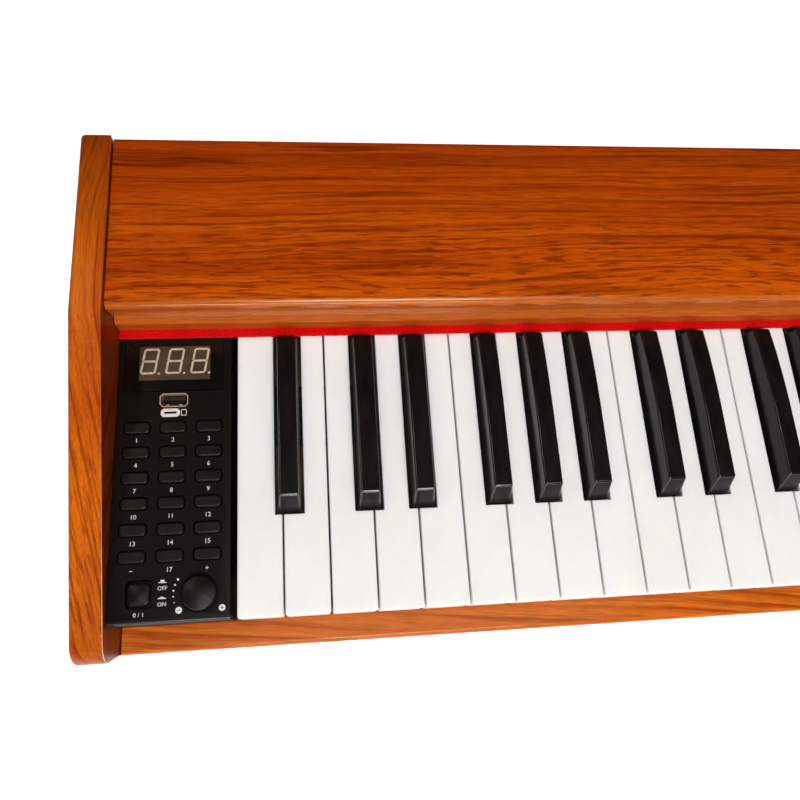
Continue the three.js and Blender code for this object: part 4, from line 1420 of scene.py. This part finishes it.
print_white = clouded(
    "print_white", (225, 224, 220), roughness=0.5, waves=900.0, detail=3.0,
    stops=[(0.35, (205, 204, 200)), (0.6, (232, 231, 228))])
ink = 0.00003               # half the thickness of the print
capital_share = 0.69        # height of a capital as a share of the font's size
number_height = 0.00225
letter_height = 0.0019
power_number_height = 0.9 * number_height
label_drop = 0.0068
minus_number, plus_number = 16, 18      # buttons with a sign in place of a number
sign_size = (0.0016, 0.00032)
print_corner = 0.0001


def panel_point(left, back):
    """Point on the panel from the first key's left side and the key fronts."""
    return Vector((keys_left + left, key_front + back, 0))


label_left = -0.0355
off_label, on_label = panel_point(label_left, 0.0166), panel_point(label_left, 0.0090)
power_label = panel_point(-0.0463, 0.0045)
push_signs = ((0.0200, 0.0010), (0.0124, 0.0005))       # place and height of a cap drawn
push_base_size, push_base_drop = (0.0040, 0.0004), 0.0006
push_cap_width, push_cap_drop = 0.0020, 0.0003
volume_ends = ((panel_point(-0.0274, 0.0058), False), (panel_point(-0.0067, 0.0059), True))
disc_radius = 0.0016
dot_count = 5
dot_start, dot_step = math.radians(198), math.radians(13)
dot_reach = 0.0042
dot_radius, dot_growth = 0.00026, 0.00008
stick_middle = panel_point(-0.0320, 0.1064)
stick_body = stick_middle - Vector((0.0022, 0, 0))
stick_plug = stick_middle + Vector((0.0047, 0, 0))
stick_body_size, stick_slot_size = (0.0098, 0.0046, 0.0019), (0.0066, 0.0011, 0.0005)
stick_plug_outer, stick_plug_inner = (0.0029, 0.0034, 0.0004), (0.0022, 0.0027, 0.0002)


def add_words(mesh, words, placed, height):
    """Letters as thin raised print, lying as the matrix says."""
    curve = bpy.data.curves.new("print", "FONT")
    curve.body = words
    curve.align_x = "CENTER"
    curve.align_y = "CENTER"
    curve.size = height / capital_share
    curve.extrude = ink
    curve.resolution_u = 3
    writing = bpy.data.objects.new("print", curve)
    bpy.context.collection.objects.link(writing)
    bpy.context.view_layer.update()
    shaped = writing.evaluated_get(bpy.context.evaluated_depsgraph_get())
    letters_mesh = shaped.to_mesh()
    letters_mesh.transform(placed)
    mesh.from_mesh(letters_mesh)
    bpy.data.objects.remove(writing)
    bpy.data.curves.remove(curve)


def on_panel(centre):
    return Matrix.Translation((centre.x, centre.y, key_top + ink))


def add_patch(mesh, outline, centre, level=0.0):
    """Patch of print on the panel or, at a level, on other print."""
    loft(mesh, outline, slab(0.0, 2 * ink), at(centre, key_top + level))


def add_sign(mesh, centre, plus, level=0.0):
    """Minus sign, or plus sign, as a patch or two."""
    for size in (sign_size, sign_size[::-1]) if plus else (sign_size,):
        add_patch(mesh, rounded_rectangle(*size, print_corner, steps=1), centre, level)


def add_marks():
    mesh = bmesh.new()
    rows = sorted(button_names, key=lambda name: (-round(middle_of(name).y, 4), middle_of(name).x))
    for number, name in enumerate(rows, 1):
        centre = middle_of(name) - Vector((0, label_drop, 0))
        if number in (minus_number, plus_number):
            add_sign(mesh, centre, number == plus_number)
        else:
            add_words(mesh, str(number), on_panel(centre), number_height)
    add_words(mesh, "OFF", on_panel(off_label), letter_height)
    add_words(mesh, "ON", on_panel(on_label), letter_height)
    for back, height in push_signs:
        add_patch(mesh, rounded_rectangle(*push_base_size, print_corner, steps=1),
                  panel_point(label_left, back - push_base_drop))
        add_patch(mesh, rounded_rectangle(push_cap_width, height, print_corner, steps=1),
                  panel_point(label_left, back - push_cap_drop + height / 2))
    for centre, _ in volume_ends:
        add_patch(mesh, circle(disc_radius, small_sides), centre)
    for step in range(dot_count):
        angle = dot_start - dot_step * step
        aside = Vector((math.cos(angle), math.sin(angle), 0)) * (knob_radius + dot_reach)
        add_patch(mesh, circle(dot_radius + dot_growth * step, dot_sides), knob_middle + aside)
    add_words(mesh, "0 / 1", on_panel(power_label), power_number_height)
    add_patch(mesh, rounded_rectangle(*stick_body_size), stick_body)
    add_ring(mesh, rounded_rectangle(*stick_plug_outer), rounded_rectangle(*stick_plug_inner),
             [key_top, key_top + 2 * ink], at(stick_plug))
    make_piece("panel_marks", mesh, [print_white], smooth_below=20)
    mesh = bmesh.new()
    for centre, plus in volume_ends:
        add_sign(mesh, centre, plus, 2 * ink)
    add_patch(mesh, rounded_rectangle(*stick_slot_size), stick_body, 2 * ink)
    make_piece("panel_mark_signs", mesh, [panel_black], smooth_below=20)


add_marks()


# Bottom board and speaker grilles
# Foiled board, screwed from below to the cheeks and cross boards. Round grilles of black
# wire lie in its two sound ports, under the paper-cone speakers.

case_foil = wood_foil("case_foil", lid_tones, roughness=0.3)
screw_zinc = clouded(
    "screw_zinc", (150, 150, 148), roughness=0.35, waves=700.0, detail=3.0,
    stops=[(0.35, (120, 120, 120)), (0.65, (176, 175, 170))],
    inputs={"Metallic": 0.9})
wire_black = clouded(
    "wire_black", (18, 18, 19), roughness=0.5, waves=300.0, detail=3.0,
    stops=[(0.35, (14, 14, 15)), (0.65, (26, 26, 27))])
bottom_low, bottom_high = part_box("bottom_board")
speakers = ("speaker_left", "speaker_right")
port_radius = 0.042
port_sides = 64
grille_rim = 0.003
grille_wire = 0.0011
grille_wire_corner = 0.0003
grille_pitch = 0.0045
grille_low, grille_high = 0.001, 0.0032
screw_radius = 0.0036
screw_sink = 0.0004
screw_head = 0.0012
screw_rim = 0.0003
sink_gap = 0.0005
slot_size = (0.0042, 0.0008)
slot_corner = 0.0002
slot_sink, slot_proud = 0.0001, 0.00005
screw_columns = [-0.62, -0.45, -0.22, 0.0, 0.22, 0.45, 0.62]
edge_margin = 0.008


def facing(origin, side, up, out):
    """Placing function for a plan outline on a face with any direction."""
    side, up, out = Vector(side), Vector(up), Vector(out)

    def place(u, v, height):
        return origin + side * u + up * v + out * height
    return place


def upwards(u, v, height):
    return Vector((u, v, height))


def block(low, high):
    """Plain block as a bmesh."""
    corners = ((low.x, low.y), (high.x, low.y), (high.x, high.y), (low.x, high.y))
    return lofted([Vector(p) for p in corners], slab(low.z, high.z), upwards)


def screw_hole(place):
    outline = circle(screw_radius + sink_gap, small_sides)
    return lofted(outline, slab(-screw_sink - screw_head, cut_run), place)


def add_crossed_slots(mesh, size, corner, steps, levels, place):
    for width, length in (size, size[::-1]):
        loft(mesh, rounded_rectangle(width, length, corner, steps), levels, place)


def add_screws(name, places):
    """Countersunk screws with crossed slots, a little below the faces that the places give."""
    heads, slots = bmesh.new(), bmesh.new()
    top = -screw_sink
    head_levels = [(top - screw_head, 0.0), (top - screw_rim, 0.0), (top, screw_rim)]
    slot_levels = slab(top - slot_sink, top + slot_proud)
    for place in places:
        loft(heads, circle(screw_radius, small_sides), head_levels, place)
        add_crossed_slots(slots, slot_size, slot_corner, 2, slot_levels, place)
    make_piece(f"{name}_screws", heads, [screw_zinc])
    make_piece(f"{name}_screw_slots", slots, [wire_black])


def add_bottom_board():
    places = []
    for x in screw_columns:
        for y in (bottom_low.y + edge_margin, bottom_high.y - edge_margin):
            spot = Vector((x, y, bottom_low.z))
            places.append(facing(spot, (1, 0, 0), (0, -1, 0), (0, 0, -1)))
    port, levels = circle(port_radius, port_sides), slab(-cut_run, 3 * cut_run)
    board = cut_away(block(bottom_low, bottom_high), [
        *[screw_hole(place) for place in places],
        *[lofted(port, levels, at(middle_of(node))) for node in speakers],
    ])
    make_piece("bottom_board_panel", board, [case_foil],
               stands_for=["bottom_board"])
    add_screws("bottom_board", places)


def add_grille(node):
    """Round frame with crossed wires, set in a port just above the board's lower face."""
    centre = middle_of(node)
    outer = port_radius - seat_gap
    inner = outer - grille_rim
    mesh = bmesh.new()
    add_ring(mesh, circle(outer, port_sides), circle(inner, port_sides),
             [grille_low, grille_high], at(centre))
    middle = (grille_low + grille_high) / 2
    count = int(inner / grille_pitch)
    for number in range(-count, count + 1):
        offset = number * grille_pitch
        length = 2 * math.sqrt(inner * inner - offset * offset) + grille_rim
        for size, shift, low in (
            ((length, grille_wire), Vector((0, offset, 0)), middle - grille_wire),
            ((grille_wire, length), Vector((offset, 0, 0)), middle),
        ):
            loft(mesh, rounded_rectangle(*size, grille_wire_corner, steps=1),
                 slab(low, low + grille_wire), at(centre + shift))
    make_piece(f"{node}_grille", mesh, [wire_black])


add_bottom_board()
for node in speakers:
    add_grille(node)


# Back board and socket plate
# Foiled board with a rebate for the socket plate, a black moulding held by four screws over
# the four sockets of the main board. Each socket has a plated nut and a plain number.

back_low, back_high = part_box("back_panel")
plate_low, plate_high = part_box("jack_plate")
plate_middle = (plate_low + plate_high) / 2
plate_face = plate_high.y
plate_proud = back_high.y - plate_face - 0.00002    # room for nuts and screws on the plate
low_share = 0.6             # share of it for the nuts' flats and the screws' rims
plate_ledge = 0.005
plate_rebate = 0.003
socket_pitch = 0.034
socket_rows = (1.5, 0.5, -0.5, -1.5)
socket_bore = 0.0034
nut_radius, nut_sides = 0.0055, 6
collar_radius = 0.0045
socket_number_height = 0.003
socket_number_drop = 0.0105
plate_screw_across, plate_screw_up = 0.070, 0.013
plate_screw_radius = 0.0023
plate_slot_size = (0.003, 0.0006)
plate_slot_corner = 0.0001
plate_slot_proud = 0.00001


def behind(x, z, face=back_high.y):
    """Placing function on a face that looks back, upright for a reader behind the piano."""
    return facing(Vector((x, face, z)), (-1, 0, 0), (0, 0, 1), (0, 1, 0))


def plate_block(spare, front, back):
    """Block as large as the socket plate with something to spare, between two places in Y."""
    return block(Vector((plate_low.x - spare, front, plate_low.z - spare)),
                 Vector((plate_high.x + spare, back, plate_high.z + spare)))


def add_back_board():
    rows = (back_low.z + edge_margin, back_high.z - edge_margin)
    places = [behind(x, z) for x in screw_columns for z in rows]
    board = cut_away(block(back_low, back_high), [
        *[screw_hole(place) for place in places],
        plate_block(seat_gap, back_high.y - plate_rebate, back_high.y + cut_run),
        plate_block(-plate_ledge, back_low.y - cut_run, back_high.y + cut_run),
    ])
    make_piece("back_panel_board", board, [case_foil], stands_for=["back_panel"])
    add_screws("back_panel", places)


def add_plate_details():
    """Nuts, numbers and corner screws on the socket plate."""
    nuts, numbers, slots = bmesh.new(), bmesh.new(), bmesh.new()
    reading = Matrix.Rotation(math.pi, 4, "Z") @ Matrix.Rotation(math.pi / 2, 4, "X")
    for number, row in enumerate(socket_rows, 1):
        x = plate_middle.x + row * socket_pitch
        place = behind(x, plate_middle.z, plate_face)
        add_ring(nuts, circle(nut_radius, nut_sides), circle(socket_bore, nut_sides),
                 [0.0, low_share * plate_proud], place)
        add_ring(nuts, circle(collar_radius), circle(socket_bore), [0.0, plate_proud], place)
        spot = Vector((x, plate_face + ink, plate_middle.z - socket_number_drop))
        add_words(numbers, str(number), Matrix.Translation(spot) @ reading, socket_number_height)
    head_levels = [(0.0, 0.0), (low_share * plate_proud, 0.0), (plate_proud, screw_rim)]
    slot_levels = slab(0.0, plate_proud + plate_slot_proud)
    for across in (-plate_screw_across, plate_screw_across):
        for up in (-plate_screw_up, plate_screw_up):
            place = behind(plate_middle.x + across, plate_middle.z + up, plate_face)
            loft(nuts, circle(plate_screw_radius, small_sides), head_levels, place)
            add_crossed_slots(slots, plate_slot_size, plate_slot_corner, 1, slot_levels, place)
    make_piece("socket_nuts", nuts, [screw_zinc])
    make_piece("socket_screw_slots", slots, [wire_black])
    make_piece("socket_numbers", numbers, [print_white], smooth_below=20)


add_back_board()
add_plate_details()
refinish("jack_plate", panel_black)


# Speakers
# Two small speakers with pressed steel baskets and paper cones, screwed face down over the
# ports. Their magnets are ferrite rings.

speaker_grey = clouded(
    "speaker_grey", (40, 40, 42), roughness=0.6, waves=300.0, detail=4.0,
    stops=[(0.35, (30, 30, 32)), (0.65, (52, 52, 54))],
    inputs={"Metallic": 0.2})
for node in speakers:
    refinish(node, speaker_grey)
